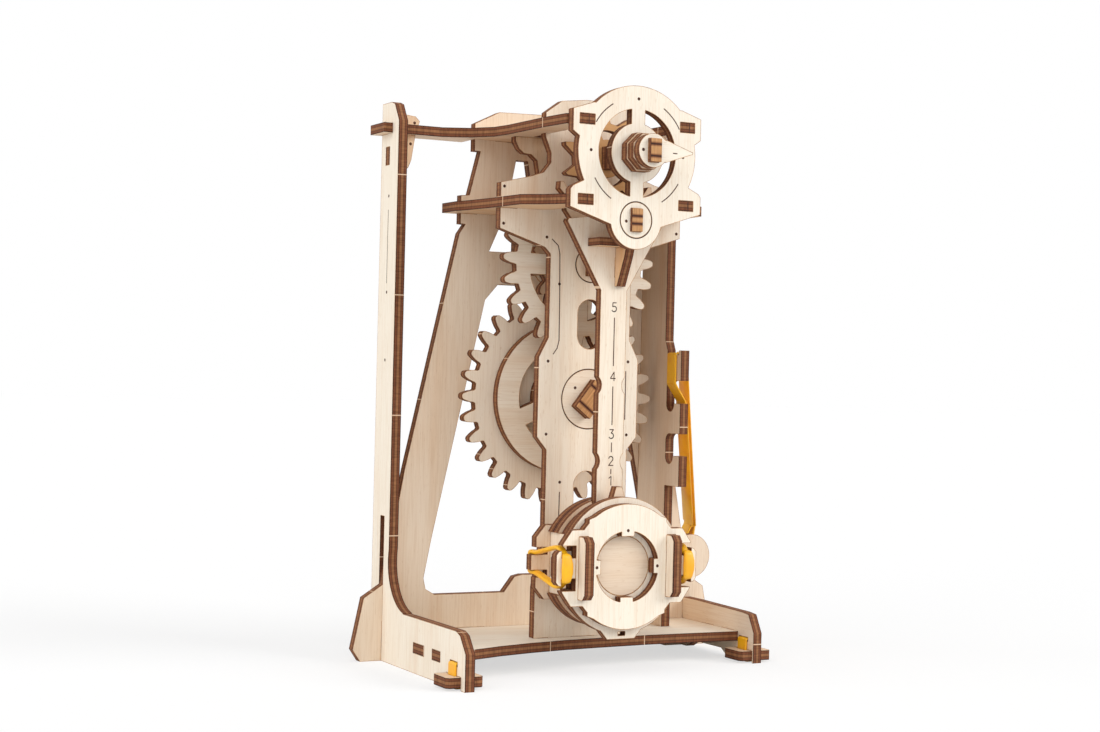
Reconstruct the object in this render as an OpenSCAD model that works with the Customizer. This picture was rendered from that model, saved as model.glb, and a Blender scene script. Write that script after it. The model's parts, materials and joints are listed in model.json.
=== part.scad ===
/* [Sheet and fits] */
// Thickness of the plywood sheet that every flat piece is cut from
ply = 3; // [2.6:0.1:3.2]
// Radial running clearance of a bearing disc in its hole
run = 0.06; // [0.02:0.01:0.1]
// Clearance on each side of a tab in its slot
slot_gap = 0.05; // [0.02:0.01:0.1]
// Thickness of the flat rubber bands
band_t = 0.7; // [0.5:0.1:0.9]

/* [Places from front to back] */
// Front of the gear plate, behind the front of the dial plate
gear_plate_y = 27; // [26.5:0.25:28]
// Front of the back frame, behind the front of the dial plate
back_frame_y = 55.5; // [55:0.25:57]
// Front of the pendulum rod
rod_y = 12.3; // [12:0.1:12.6]
// Front of the escape wheel and the anchor
escape_y = 18.5; // [18:0.25:19]
// Front of the second gear and the hand pinion
second_gear_y = 34.5; // [34:0.25:35]
// Front of the inner plate that holds the back of the hand axle
inner_plate_y = 40; // [39:0.25:40]
// Front of the great gear and the second pinion
great_gear_y = 46.5; // [46.25:0.25:46.75]

/* [Axle heights] */
// Height of the main axle above the ground
main_z = 82.2; // [81:0.2:83]
// Pitch radius of the great gear and the second pinion added together
main_centres = 41.4; // [41:0.1:42]
// Pitch radius of the second gear and the hand pinion added together
hand_centres = 32.1; // [31.6:0.1:32.4]
// Distance of the pendulum axle below the hand axle
pendulum_drop = 19.8; // [19.4:0.1:20.2]

/* [Gears] */
// Teeth of the great gear
great_teeth = 30; // [30]
// Teeth of the pinion on the second axle
second_pinion_teeth = 9; // [9]
// Teeth of the second gear
second_teeth = 23; // [23]
// Teeth of the pinion on the hand axle
hand_pinion_teeth = 7; // [7]
// Part of the pitch left open beside each tooth
backlash = 0.09; // [0.07:0.01:0.12]
// Teeth of the escape wheel
escape_teeth = 10; // [9:1:12]
// Tip radius of the escape wheel
escape_r = 15; // [14:0.25:15.25]
// Gap between the escape wheel tips and the anchor at rest
pallet_gap = 1.6; // [1.5:0.1:1.9]

/* [Axles and bearings] */
// Width of a slim axle strip
axle_w = 3.6; // [3.2:0.1:3.8]
// Height of a slim axle strip
axle_h = 6.8; // [6:0.1:7]
// Width of the main axle bar
main_axle_w = 6.2; // [5.8:0.1:6.4]
// Height of the main axle bar
main_axle_h = 10.4; // [9.8:0.1:10.6]
// Turn of the main axle bar as it stands in the picture
main_axle_turn = -38; // [-90:2:0]
// Radius of the small bearing discs
bush_r = 5.3; // [5:0.1:5.4]
// Radius of the main bearing discs
main_bush_r = 9.1; // [8.6:0.1:9.3]

/* [Dial plate] */
// Radius of the round top of the dial
dial_r = 20; // [19.5:0.25:20.5]
// Half width of the dial plate over its arms
dial_half_w = 22.2; // [21.8:0.1:22.6]
// Outer radius of the ring window
window_r = 13.1; // [12.5:0.1:13.5]
// Radius of the dial hub inside the ring window
dial_hub_r = 8.9; // [8.5:0.1:9.2]
// Width of the two spokes
spoke_w = 4.6; // [4:0.1:5]
// Radius of the round foot of the dial about the pendulum axle
dial_foot_r = 8.7; // [8.2:0.1:9]

/* [Frame] */
// Outer face of the left side plate from the middle
left_face_x = 55; // [54.5:0.25:56]
// Inner face of the right foot plate from the middle
right_face_x = 53.5; // [53:0.25:54.5]
// Half width of the back frame over its feet
frame_half_w = 64.5; // [63.5:0.25:66]
// Height of the post and of the back frame above the top beam
top_rise = 6.6; // [5:0.1:8]
// Depth of the post from front to back
post_d = 13.2; // [12.8:0.1:13.8]
// Height of the two feet
foot_h = 16.4; // [16:0.1:17.5]
// Underside of the base plate above the ground
base_z = 6; // [5.9:0.1:6.2]
// Front of the left toe, in front of the dial plate
left_toe = 5.8; // [4:0.2:7]
// Front of the right toe, behind the front of the dial plate
right_toe = 12.5; // [11:0.5:13.5]
// Left face of the hook plate from the middle, clear of the great gear
hook_plate_x = 35; // [34.5:0.25:36]

/* [Pendulum] */
// Width of the pendulum rod
rod_w = 9; // [8.6:0.1:9.4]
// Lower end of the rod above the ground
rod_end_z = 22; // [20:0.5:24]
// Height of the middle of the bob above the ground in its lowest place
bob_z = 33.2; // [32.8:0.2:34]
// Radius of the large bob disc
bob_r = 20.6; // [20:0.2:21]
// Reach of the bob ears past the large disc
ear_reach = 1.2; // [1:0.1:1.4]
// Height of the bob ears past the ends of the clamps
ear_rise = 2; // [1.8:0.1:2.4]

/* [Hidden] */
$fn = 64;

// The front of the dial plate is moved so that the middle of the whole model stands over the origin
hand_tip_y = -3 * ply - 2;
crank_y = back_frame_y + ply + 1.2;
knob_l = 6.9;
front_y = -(hand_tip_y + crank_y + ply + knob_l) / 2;

second_z = main_z + main_centres;
hand_z = second_z + hand_centres;
pendulum_z = hand_z - pendulum_drop;

great_mod = 2 * main_centres / (great_teeth + second_pinion_teeth);
hand_mod = 2 * hand_centres / (second_teeth + hand_pinion_teeth);
great_tip_r = great_mod * (great_teeth / 2 + 0.9);
second_tip_r = hand_mod * (second_teeth / 2 + 0.9);

// The beams lie flat at these heights and hold the dial by four tabs
top_beam_z = hand_z + 7.4;
middle_beam_z = pendulum_z + 3.7;
tab_in = 14.6;
tab_out = 19.6;
base_top = base_z + ply;
post_h = top_beam_z + ply + top_rise;
wing_w = 31.6;
back_wing_w = 31.6;
back_top_w = 27.3;

post_front_y = back_frame_y - 4.1;
post_back_y = post_front_y + post_d;
ratchet_y = great_gear_y - ply - 0.6;
drum_y = great_gear_y + ply;

// The roller for the drive band sits behind the round horn of the back frame
horn_x = left_face_x + 1.3;
horn_z = 29.6;
horn_r = 7.3;
roller_r = 2.2;
roller_pin_r = 1.4;
roller_d = 6.5;

// Layers of the bob from front to back, around the plane of the rod
rod_gap = 0.1;
bob_y5 = rod_y + ply + rod_gap;
bob_y4 = rod_y - rod_gap;
bob_y3 = bob_y4 - 2 * ply;
bob_y2 = bob_y3 - ply;
bob_y1 = bob_y2 - ply;
bob_y6 = bob_y5 + ply;
bob_back_y = bob_y6 + ply;
clamp_in = bob_r - 7.2;
clamp_half_h = bob_r - 11.4;
clamp_out_y = 3.9;
bob_ear_w = bob_r + ear_reach;
bob_ear_h = clamp_half_h + ear_rise;
bob_window_r = bob_r - 10;
cap_r = bob_r - 11.7;
core_r = bob_r - 1;
front_tongue_h = 4.9;
rear_tongue_h = 2.3;
bob_band_t = 1.4;
bob_band_w = 3;
bob_band_x = clamp_in + ply + 1.1;

// Moves the model so that the middle of its box stands over the origin
module in_frame() { translate([0, front_y, 0]) children(); }

// A sheet that stands across the width, drawn as (x, z) with its front face at y
module sheet_y(y, t = ply) {
    in_frame() translate([0, y + t, 0]) rotate([90, 0, 0]) linear_extrude(t) children();
}

// A sheet that stands from front to back, drawn as (y, z) with its left face at x
module sheet_x(x, t = ply) {
    in_frame() translate([x, 0, 0]) rotate([90, 0, 90]) linear_extrude(t) children();
}

// A sheet that lies flat, drawn as (x, y) with its underside at z
module sheet_z(z, t = ply) { in_frame() translate([0, 0, z]) linear_extrude(t) children(); }

module both_sides() { children(); mirror([1, 0]) children(); }

function backward(p) = [for (i = [len(p) - 1:-1:0]) p[i]];
function doubled_area(p) = [for (i = [0:len(p) - 1]) cross(p[i], p[(i + 1) % len(p)])] * [for (i = p) 1];

// An outline whose points may run either way round
module outline(points) { polygon(doubled_area(points) < 0 ? backward(points) : points); }

// A symmetric outline from the points of its right half, without those on the middle line
module mirrored_outline(points) {
    outline(concat(points, backward([for (p = points) [-p[0], p[1]]])));
}

// The same rectangle on both sides of the middle line
module two_rects(x0, y0, x1, y1) {
    rect(x0, y0, x1, y1);
    rect(-x1, y0, -x0, y1);
}

// A rectangle given by its two corners
module rect(x0, y0, x1, y1) { translate([x0, y0]) square([x1 - x0, y1 - y0]); }

// A slot with round ends, given by the middles of its ends
module slot_2d(a, b, r) {
    d = b - a;
    translate(a) circle(r);
    translate(b) circle(r);
    translate(a) rotate(atan2(d[1], d[0])) translate([0, -r]) square([norm(d), 2 * r]);
}

// The hole of an axle strip, and the strip itself when grow is 0
module axle_hole(w, h, grow = slot_gap) { square([w + 2 * grow, h + 2 * grow], center = true); }
module slim_hole(z) { translate([0, z]) axle_hole(axle_w, axle_h); }
module main_hole() { translate([0, main_z]) rotate(main_axle_turn) axle_hole(main_axle_w, main_axle_h); }

// The involute angle at radius r of a gear whose base circle is rb, in degrees
function involute(r, rb) = r <= rb ? 0 : let(a = acos(rb / r)) tan(a) * 180 / PI - a;

// Half the angle that a tooth spans at radius r
function tooth_half(r, rp, rb, teeth, play) =
    90 / teeth * (1 - play) + involute(rp, rb) - involute(r, rb);

// The outline of a gear: rounded tips, involute sides and open roots
module gear_2d(teeth, mod, add, ded, play, turn = 0) {
    rp = mod * teeth / 2;
    rb = rp * cos(20);
    rt = rp + add * mod;
    rr = rp - ded * mod;
    steps = 4;
    lo = max(rr + 0.25 * mod, min(rb, rp));
    radii = [for (i = [0:steps]) lo + (rt - 0.18 * mod - lo) * i / steps];
    side = [for (r = radii) [r, tooth_half(r, rp, rb, teeth, play)]];
    tip = side[steps][1];
    half = concat([[rr, side[0][1] + 20 / teeth]], side, [[rt, tip * 0.45]]);
    tooth = concat([for (p = half) [p[0], -p[1]]],
                   [for (i = [len(half) - 1:-1:0]) half[i]]);
    outline([for (k = [0:teeth - 1], p = tooth)
        let(a = turn + 360 * k / teeth + p[1]) p[0] * [cos(a), sin(a)]]);
}

// Cuts arc shaped windows between two radii, leaving bars of one width
module arc_windows(ro, ri, count, bar, turn = 0) {
    difference() {
        circle(ro);
        circle(ri);
        for (k = [0:count - 1]) rotate(turn + 360 * k / count)
            translate([0, -bar / 2]) square([2 * ro, bar]);
    }
}

// Four slots for the tabs of the two beams in the dial plate
module dial_slots() {
    both_sides() for (z = [top_beam_z, middle_beam_z])
        rect(tab_in - slot_gap, z - slot_gap, tab_out + slot_gap, z + ply + slot_gap);
}

module dial_outline() {
    translate([0, hand_z]) circle(dial_r);
    translate([0, pendulum_z]) circle(dial_foot_r);
    mirrored_outline([[15.1, hand_z + 13.9], [dial_half_w - 0.4, hand_z + 11.7],
        [dial_half_w - 0.4, hand_z + 5.3], [19.4, hand_z + 3.6], [19.2, hand_z - 0.6],
        [17.9, hand_z - 6.8], [17.8, hand_z - 9.1], [dial_half_w - 0.8, hand_z - 10.8],
        [dial_half_w, hand_z - 11.8], [dial_half_w, middle_beam_z - 0.9],
        [dial_foot_r - 0.2, pendulum_z - 1.7]]);
}

module dial_plate() {
    color("burlywood") sheet_y(0) difference() {
        dial_outline();
        translate([0, hand_z]) arc_windows(window_r, dial_hub_r, 2, spoke_w, 90);
        translate([0, hand_z]) circle(bush_r + run);
        translate([0, pendulum_z]) circle(bush_r + run);
        dial_slots();
    }
}

module gear_plate_outline() {
    mirrored_outline([[3, hand_z + 18.6], [11.5, hand_z + 17.6], [16.9, hand_z + 13.7],
        [16.9, hand_z + 6.5], [14.8, hand_z + 1.5], [14.8, hand_z - 1.5], [17.2, hand_z - 4.6],
        [22, hand_z - 6.2], [wing_w, hand_z - 8.5], [wing_w, hand_z - 22.4], [16.2, hand_z - 27.4],
        [14.2, hand_z - 29.4], [14.2, main_z + 18.6], [17.4, main_z + 12.6], [17.4, main_z - 11.8],
        [14.1, main_z - 15.7], [14.1, main_z - 40.2], [17, main_z - 57.8], [17, base_top + slot_gap]]);
    two_rects(4, base_z, 12, base_top + 1);
}

module gear_plate() {
    color("wheat") sheet_y(gear_plate_y) difference() {
        gear_plate_outline();
        translate([0, hand_z]) circle(bush_r + run);
        translate([0, pendulum_z]) circle(bush_r + run);
        translate([0, second_z]) circle(bush_r + run);
        translate([0, main_z]) circle(main_bush_r + run);
        slot_2d([0, main_z + 19.7], [0, second_z - 15], 4.3);
        slot_2d([0, base_top + 18], [0, main_z - 26.5], 4.3);
        both_sides() rect(wing_notch - slot_gap, middle_beam_z - slot_gap,
                          wing_w + 1, middle_beam_z + ply + slot_gap);
    }
}

// The wing of the gear plate is cut from its edge in to this place, for the middle beam
wing_notch = 26;

module back_frame_outline() {
    mirrored_outline([[3, post_h], [18.8, post_h - 0.4], [back_top_w, post_h - 4.6],
        [back_top_w, hand_z + 3.7], [25.2, hand_z + 3.7], [28.7, hand_z - 10.3],
        [back_wing_w, hand_z - 10.5], [back_wing_w, hand_z - 19.5], [29.9, hand_z - 19.6],
        [31.9, second_z + 9.5], [48.6, 58.8], [left_face_x - slot_gap, 23.5], [61.2, 19.5],
        [frame_half_w, 3.7], [62, 0], [47, 0], [44, 3]]);
    translate([horn_x, horn_z]) circle(horn_r);
}

// Openings of the back frame: the tall lower window, two small ones above and one at the top
module back_frame_windows() {
    difference() {
        mirrored_outline([[18, second_z - 6], [22.4, second_z - 11], [39.1, 36.9],
            [41.4, 25], [40.6, 21.6], [37.5, 19.8]]);
        mirrored_outline([[7, 25.2], [9.6, 24.6], [13.3, 19.8], [13.3, 19]]);
        rect(-5, main_z, 5, second_z);
        translate([0, main_z]) circle(main_bush_r + 4.4);
        translate([0, second_z]) circle(bush_r + 3.4);
    }
    both_sides() difference() {
        outline([[12.2, second_z + 4.4], [21.4, second_z + 4.4], [17.8, second_z + 12.4],
            [12.2, second_z + 12.4]]);
        translate([0, second_z]) circle(bush_r + 3.4);
    }
    both_sides() outline([[7.3, hand_z - 4.6], [13.8, hand_z - 4.6], [12.6, hand_z + 1.7],
        [8.4, hand_z + 1.7]]);
}

module back_frame() {
    color("burlywood") sheet_y(back_frame_y) difference() {
        back_frame_outline();
        back_frame_windows();
        translate([0, main_z]) circle(main_bush_r + run);
        translate([0, second_z]) circle(bush_r + run);
        translate([horn_x, horn_z]) circle(roller_pin_r);
        both_sides() rect(frame_tab_in - slot_gap, top_beam_z - slot_gap,
                          frame_tab_out + slot_gap, top_beam_z + ply + slot_gap);
        both_sides() rect(wing_notch - slot_gap, middle_beam_z - slot_gap,
                          back_wing_w + 1, middle_beam_z + ply + slot_gap);
        both_sides() rect(base_tab_in - slot_gap, base_z - slot_gap,
                          base_tab_out + slot_gap, base_top + slot_gap);
        translate([-left_face_x, -1]) rect(-slot_gap, 0, ply + slot_gap, 1 + side_lap_z);
        translate([right_face_x, -1]) rect(-slot_gap, 0, ply + slot_gap, 1 + foot_lap_z);
    }
}

// Tabs of the top beam and of the base plate that pass through the back frame
frame_tab_in = 12;
frame_tab_out = 20;
base_tab_in = 20;
base_tab_out = 30;
// Heights where the side plates and the back frame change over in their cross joints
side_lap_z = 12;
foot_lap_z = 8;

module inner_plate() {
    color("burlywood") sheet_y(inner_plate_y) difference() {
        union() {
            mirrored_outline([[20.6, top_beam_z - slot_gap], [20.6, hand_z + 5.9],
                [19.4, hand_z + 3.7], [17.6, hand_z + 2.3], [15, hand_z + 2.1], [12.9, hand_z + 0.3],
                [12.2, hand_z - 3.5], [12.2, middle_beam_z + ply + slot_gap]]);
            two_rects(4, top_beam_z - 0.5, 10, top_beam_z + ply);
            two_rects(4, middle_beam_z, 10, middle_beam_z + ply + 0.5);
        }
        translate([0, hand_z]) circle(bush_r + run);
    }
}

// Outline of the left side plate: a long low foot, a quarter curve and the tall post
module left_side_outline() {
    difference() {
        union() {
            outline([[-left_toe, 0], [-left_toe, 10.6], [-left_toe + 4, foot_h - 1],
                [-left_toe + 6.8, foot_h], [post_front_y, foot_h], [post_front_y, post_h - 6.2],
                [post_front_y + 3.5, post_h - 0.8],
                [post_front_y + 6, post_h], [post_back_y, post_h], [post_back_y, 4], [post_back_y - 3, 0]]);
            rect(post_front_y - 12, foot_h, post_front_y, foot_h + 15);
        }
        translate([post_front_y - 14.6, foot_h + 15]) circle(15);
        rect(post_front_y - 15, foot_h, post_front_y - 13.2, foot_h + 16);
    }
}

module left_side_plate() {
    color("wheat") sheet_x(-left_face_x) difference() {
        left_side_outline();
        // The back frame passes through this upright slot
        rect(back_frame_y - slot_gap, side_lap_z - slot_gap, back_frame_y + ply + slot_gap, foot_h + 28.2);
        // The top beam rests in this notch of the back edge
        rect(post_lap_y - slot_gap, top_beam_z - slot_gap, post_back_y + 1, top_beam_z + ply + slot_gap);
        for (y = base_tabs_left) base_tab_hole(y);
        // Slots for the small bracket, the pad and the rubber band
        rect(bracket_y - slot_gap, bracket_z[0] - slot_gap,
            bracket_y + ply + slot_gap, bracket_z[1] + slot_gap);
        foot_cuts(left_pad_y);
    }
}

// A hole of a foot for a tab of the base plate, given by the front and back of the tab
module base_tab_hole(y) { rect(y[0] - slot_gap, base_z - slot_gap, y[1] + slot_gap, base_top + slot_gap); }

// The pad lies in a notch of the foot, and its band goes through a slot above it
module foot_cuts(y) {
    rect(y - pad_half - slot_gap, -1, y + pad_half + slot_gap, pad_z + ply + slot_gap);
    half = foot_band_w / 2 + slot_gap;
    rect(y - half, foot_band_z, y + half, foot_band_z + 2 * band_t);
}

post_lap_y = post_front_y + 8.5;
base_tabs_left = [[11.4, 17.2], [23, 31]];
base_tabs_right = [[24, 31], [36, 43]];
bracket_y = post_front_y + 6.8;
bracket_z = [top_beam_z - 9.7, top_beam_z - 4.2];
bracket_neck = [1, 4];
pad_z = 0.8;
pad_half = 5;
left_pad_y = 7.8 - left_toe;
right_pad_y = right_toe + 5.7;
foot_band_w = 5;
foot_band_z = 6.4;

module right_foot_plate() {
    color("burlywood") sheet_x(right_face_x) difference() {
        outline([[right_toe, 0], [right_toe, 9.4], [right_toe + 3.2, foot_h - 1.4],
            [right_toe + 7, foot_h - 1], [back_frame_y - 8, foot_h - 0.4],
            [post_back_y, foot_h - 0.4], [post_back_y, 4],
            [post_back_y - 3, 0], [back_frame_y - 3, 0], [back_frame_y - 8, 2.4],
            [right_pad_y + 13, 2.4], [right_pad_y + 9, 0]]);
        rect(back_frame_y - slot_gap, foot_lap_z - slot_gap, back_frame_y + ply + slot_gap, foot_h + 1);
        for (y = base_tabs_right) base_tab_hole(y);
        foot_cuts(right_pad_y);
    }
}

// The base plate has a hollow front edge and tabs in the feet and in the back frame
module base_plate() {
    inner_l = -left_face_x + ply + slot_gap;
    inner_r = right_face_x - slot_gap;
    color("wheat") sheet_z(base_z) difference() {
        union() {
            outline([[inner_l, 8.5], [-43, 12.6], [-33.5, 16], [-22, 18.9], [-9, 21], [4, 22], [21.7, 22.8],
                [39, 22.2], [inner_r, 21.4], [inner_r, back_frame_y - slot_gap],
                [inner_l, back_frame_y - slot_gap]]);
            for (y = base_tabs_left) rect(inner_l - ply, y[0], inner_l + 1, y[1]);
            for (y = base_tabs_right) rect(inner_r - 1, y[0], inner_r + ply, y[1]);
            two_rects(base_tab_in, back_frame_y - 1, base_tab_out, back_frame_y + ply);
        }
        // Slots for the feet of the gear plate and of the hook plate
        both_sides() rect(4 - slot_gap, gear_plate_y - slot_gap,
            12 + slot_gap, gear_plate_y + ply + slot_gap);
        rect(hook_plate_x - slot_gap, hook_tab[0] - slot_gap,
            hook_plate_x + ply + slot_gap, hook_tab[1] + slot_gap);
    }
}

// Tabs of the hook plate in the base and in the middle beam
hook_tab = [41, 50];
hook_top_tab = [44, 50];

module top_beam() {
    arm_back = back_frame_y + 10;
    color("burlywood") sheet_z(top_beam_z) difference() {
        union() {
            // Two arms run forward to the dial plate, and a long arm reaches out to the post
            outline([[-tab_in - 0.6, ply + slot_gap], [-22.4, ply + slot_gap], [-23.6, 15], [-24.2, 38],
                [-25.4, 45.5], [-30.4, 52.4], [-38, 56.6], [-48, 56.6],
                [-left_face_x - 3, post_front_y + 4.5],
                [-left_face_x - 3, arm_back + 1.5], [-40, arm_back], [-back_top_w - slot_gap, arm_back],
                [-back_top_w - slot_gap, back_frame_y - slot_gap], [27, back_frame_y - slot_gap],
                [25.4, 45.5],
                [24.2, 38], [23.6, 15], [22.4, ply + slot_gap], [tab_in + 0.6, ply + slot_gap],
                [tab_in + 0.6, inner_plate_y - 1.5], [-tab_in - 0.6, inner_plate_y - 1.5]]);
            two_rects(tab_in, 0, tab_out, ply + 0.5);
            two_rects(frame_tab_in, back_frame_y - 1, frame_tab_out, back_frame_y + ply + 1);
        }
        both_sides() rect(tab_in - 1, gear_plate_y - slot_gap,
            16.9 + slot_gap, gear_plate_y + ply + slot_gap);
        both_sides() rect(4 - slot_gap, inner_plate_y - slot_gap,
            10 + slot_gap, inner_plate_y + ply + slot_gap);
        rect(-left_face_x - slot_gap, post_front_y,
            -left_face_x + ply + slot_gap, post_lap_y + slot_gap);
        translate([-left_face_x + ply + slot_gap, bracket_y])
            rect(bracket_neck[0] - slot_gap, -slot_gap, bracket_neck[1] + slot_gap, ply + slot_gap);
    }
}

module middle_beam() {
    back = back_frame_y + 4.5;
    reach = hook_plate_x + ply + 1.4;
    color("burlywood") sheet_z(middle_beam_z) difference() {
        union() {
            mirrored_outline([[36, back], [36, back - 10], [34.8, back - 14], [32.6, 32],
                [31.4, 14], [26, 9], [22, ply + slot_gap], [tab_in + 0.6, ply + slot_gap],
                [tab_in + 0.6, 24], [23.4, 32], [23.4, inner_plate_y - 1]]);
            two_rects(tab_in, 0, tab_out, ply + 0.5);
            // The right edge reaches out over the hook plate
            outline([[31, hook_back_y - 1.2], [reach, hook_back_y + 2.8], [reach, back], [31, back]]);
        }
        rect(hook_plate_x - slot_gap, hook_top_tab[0] - slot_gap, hook_plate_x + ply + slot_gap,
            hook_top_tab[1] + slot_gap);
        // The middle of the back frame stands behind this edge, between the two wings
        rect(-wing_notch, back_frame_y - slot_gap, wing_notch, back + 1);
        both_sides() rect(tab_in, gear_plate_y - slot_gap,
            wing_notch, gear_plate_y + ply + slot_gap);
        both_sides() rect(4 - slot_gap, inner_plate_y - slot_gap,
            10 + slot_gap, inner_plate_y + ply + slot_gap);
    }
}

// The hook plate stands on the base and carries three hooks with round mouths between them
hook_tops = [main_z + 15.9, main_z - 1.1, main_z - 17.9];
hook_h = 9.7;
hook_tip_y = 29.8;
hook_back_y = 38.2;
hook_mouth_r = 2.3;
hook_dip = 2.6;
saddle_front_y = 31.2;
saddle_z = hook_tops[0] - 1.4;

// A mouth runs back between two hooks and dips behind the lip of the lower one
module hook_mouth(low, high) {
    middle = hook_back_y - hook_mouth_r;
    slot_2d([middle, low - hook_dip + hook_mouth_r], [middle, high - hook_mouth_r], hook_mouth_r);
    rect(hook_tip_y - 1, low, middle, high);
}

module hook_plate() {
    back = back_frame_y - slot_gap;
    foot = hook_tops[2] - hook_h;
    neck_y = hook_back_y + 1.5;
    color("burlywood") sheet_x(hook_plate_x) difference() {
        union() {
            outline([[back, base_top + slot_gap], [hook_back_y, base_top + slot_gap], [hook_back_y, foot],
                [hook_tip_y, foot], [hook_tip_y, hook_tops[0]], [hook_back_y, hook_tops[0]],
                [neck_y, hook_tops[0] + 3.2], [neck_y, middle_beam_z - slot_gap],
                [back, middle_beam_z - slot_gap]]);
            rect(hook_tab[0], base_z, hook_tab[1], base_top + 1);
            rect(hook_top_tab[0], middle_beam_z - 1, hook_top_tab[1], middle_beam_z + ply);
        }
        for (i = [1, 2]) hook_mouth(hook_tops[i], hook_tops[i - 1] - hook_h);
        // The drive band lies in a shallow saddle on the top hook
        rect(saddle_front_y, saddle_z, hook_back_y, hook_tops[0] + 1);
    }
}

// A small bracket in the corner of the post hangs through the top beam by its head
module post_bracket() {
    x0 = -left_face_x + ply + slot_gap;
    over = top_beam_z + ply + slot_gap;
    color("wheat") sheet_y(bracket_y) translate([x0, 0]) union() {
        outline([[0, top_beam_z - slot_gap], [5.4, top_beam_z - slot_gap], [4.2, bracket_z[0] + 1.8],
            [3.2, bracket_z[0] - 0.6], [0, bracket_z[0] - 3]]);
        rect(bracket_neck[0], top_beam_z - 1, bracket_neck[1], over + 1);
        outline([[0, over], [6.4, over], [6.8, over + 1.4], [5.4, over + 2.8], [0, over + 3.4]]);
        rect(-ply - slot_gap, bracket_z[0], 1, bracket_z[1]);
    }
}

// A pad lies across a toe, with slots for the rubber band on both sides of the foot
module pad_2d() {
    difference() {
        intersection() {
            circle(7);
            rect(-5.8, -pad_half, 5.8, pad_half);
        }
        two_rects(ply / 2 - 0.1, -foot_band_w / 2 - 0.1, ply / 2 + band_t + 0.15, foot_band_w / 2 + 0.1);
    }
}

module left_pad() {
    color("wheat") sheet_z(pad_z) translate([-left_face_x + ply / 2, left_pad_y]) pad_2d();
}

module right_pad() {
    color("wheat") sheet_z(pad_z) translate([right_face_x + ply / 2, right_pad_y]) pad_2d();
}

// A flat band that wraps the lower bar of a foot and grips the ground
module foot_band_2d() {
    difference() {
        rect(-ply / 2 - band_t - 0.05, 0, ply / 2 + band_t + 0.05, foot_band_z + band_t + 0.6);
        rect(-ply / 2 - 0.05, band_t, ply / 2 + 0.05, foot_band_z + 0.55);
    }
}

module foot_bands() {
    half = foot_band_w / 2;
    color("gold") {
        translate([-left_face_x + ply / 2, 0, 0]) sheet_y(left_pad_y - half, foot_band_w) foot_band_2d();
        translate([right_face_x + ply / 2, 0, 0]) sheet_y(right_pad_y - half, foot_band_w) foot_band_2d();
    }
}

// The roller turns the drive band round the horn of the back frame
module band_roller() {
    color("tan") {
        sheet_y(back_frame_y, ply + 0.3 + roller_d + 1.6) translate([horn_x, horn_z])
            circle(roller_pin_r - 0.04);
        sheet_y(back_frame_y + ply + 0.3, roller_d) translate([horn_x, horn_z]) difference() {
            circle(roller_r);
            circle(roller_pin_r + 0.02);
        }
    }
}

// Corners of the drive band: over the top hook, down to the roller and round it, up and in below that hook
hook_side = hook_plate_x + ply;
drive_t = 0.6;
drive_w = 6.2;
drive_y = (saddle_front_y + hook_back_y) / 2;
drive_rise = horn_z + 10.2;
roller_y = back_frame_y + ply + 0.3 + roller_d / 2;
band_turn_r = (roller_r + 0.55) / cos(22.5);
drive_loop = concat(
    [[hook_plate_x - 0.45, drive_y, saddle_z + 0.45], [hook_side + 0.45, drive_y, saddle_z + 0.45],
        [horn_x + 4, roller_y, drive_rise]],
    [for (a = [22.5:-45:-202.5]) [horn_x + band_turn_r * cos(a), roller_y, horn_z + band_turn_r * sin(a)]],
    [[horn_x + 2, roller_y, drive_rise], [hook_side + 0.5, drive_y, hook_tops[1] + 0.5],
        [hook_plate_x - 0.45, drive_y, hook_tops[0] - hook_h - 0.9]]);

module drive_band() {
    color("gold") in_frame() for (i = [0:len(drive_loop) - 1]) hull() {
        translate(drive_loop[i]) cube([drive_t, drive_w, drive_t], center = true);
        translate(drive_loop[(i + 1) % len(drive_loop)]) cube([drive_t, drive_w, drive_t], center = true);
    }
}

module main_bar_2d() {
    translate([0, main_z]) rotate(main_axle_turn) axle_hole(main_axle_w, main_axle_h, 0);
}

module main_axle() {
    front = gear_plate_y - 3;
    color("peru") sheet_y(front, crank_y + ply + 1.6 - front) main_bar_2d();
}

module main_disc(y) {
    sheet_y(y) difference() {
        translate([0, main_z]) circle(main_bush_r);
        main_hole();
    }
}

module main_discs() {
    color("wheat") {
        main_disc(gear_plate_y);
        main_disc(back_frame_y);
    }
}

module great_gear() {
    color("burlywood") sheet_y(great_gear_y) translate([0, main_z]) difference() {
        gear_2d(great_teeth, great_mod, 0.9, 1.15, backlash, 90 + 180 / great_teeth);
        rotate(main_axle_turn) axle_hole(main_axle_w, main_axle_h);
    }
}

// The ratchet disc lies in front of the great gear, with four windows between its pawls
ratchet_r = 23.4;

module ratchet_disc() {
    color("wheat") sheet_y(ratchet_y) translate([0, main_z]) difference() {
        circle(ratchet_r);
        rotate(main_axle_turn) axle_hole(main_axle_w, main_axle_h);
        arc_windows(15.8, 10.5, 4, 5.6, 23);
    }
}

drum_r = 8.4;
drum_d = 5;

module drum() {
    color("tan") {
        sheet_y(drum_y, drum_d) translate([0, main_z]) difference() {
            circle(drum_r);
            rotate(main_axle_turn) axle_hole(main_axle_w, main_axle_h);
        }
    }
}

crank_r = 21;
crank_pin_r = 2;
knob_r = 4.2;

module winding_crank() {
    color("burlywood") sheet_y(crank_y) translate([0, main_z]) rotate(main_axle_turn) difference() {
        union() {
            circle(9.6);
            slot_2d([0, 0], [0, crank_r], 5);
        }
        axle_hole(main_axle_w, main_axle_h);
        translate([0, crank_r]) circle(crank_pin_r);
    }
}

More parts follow.
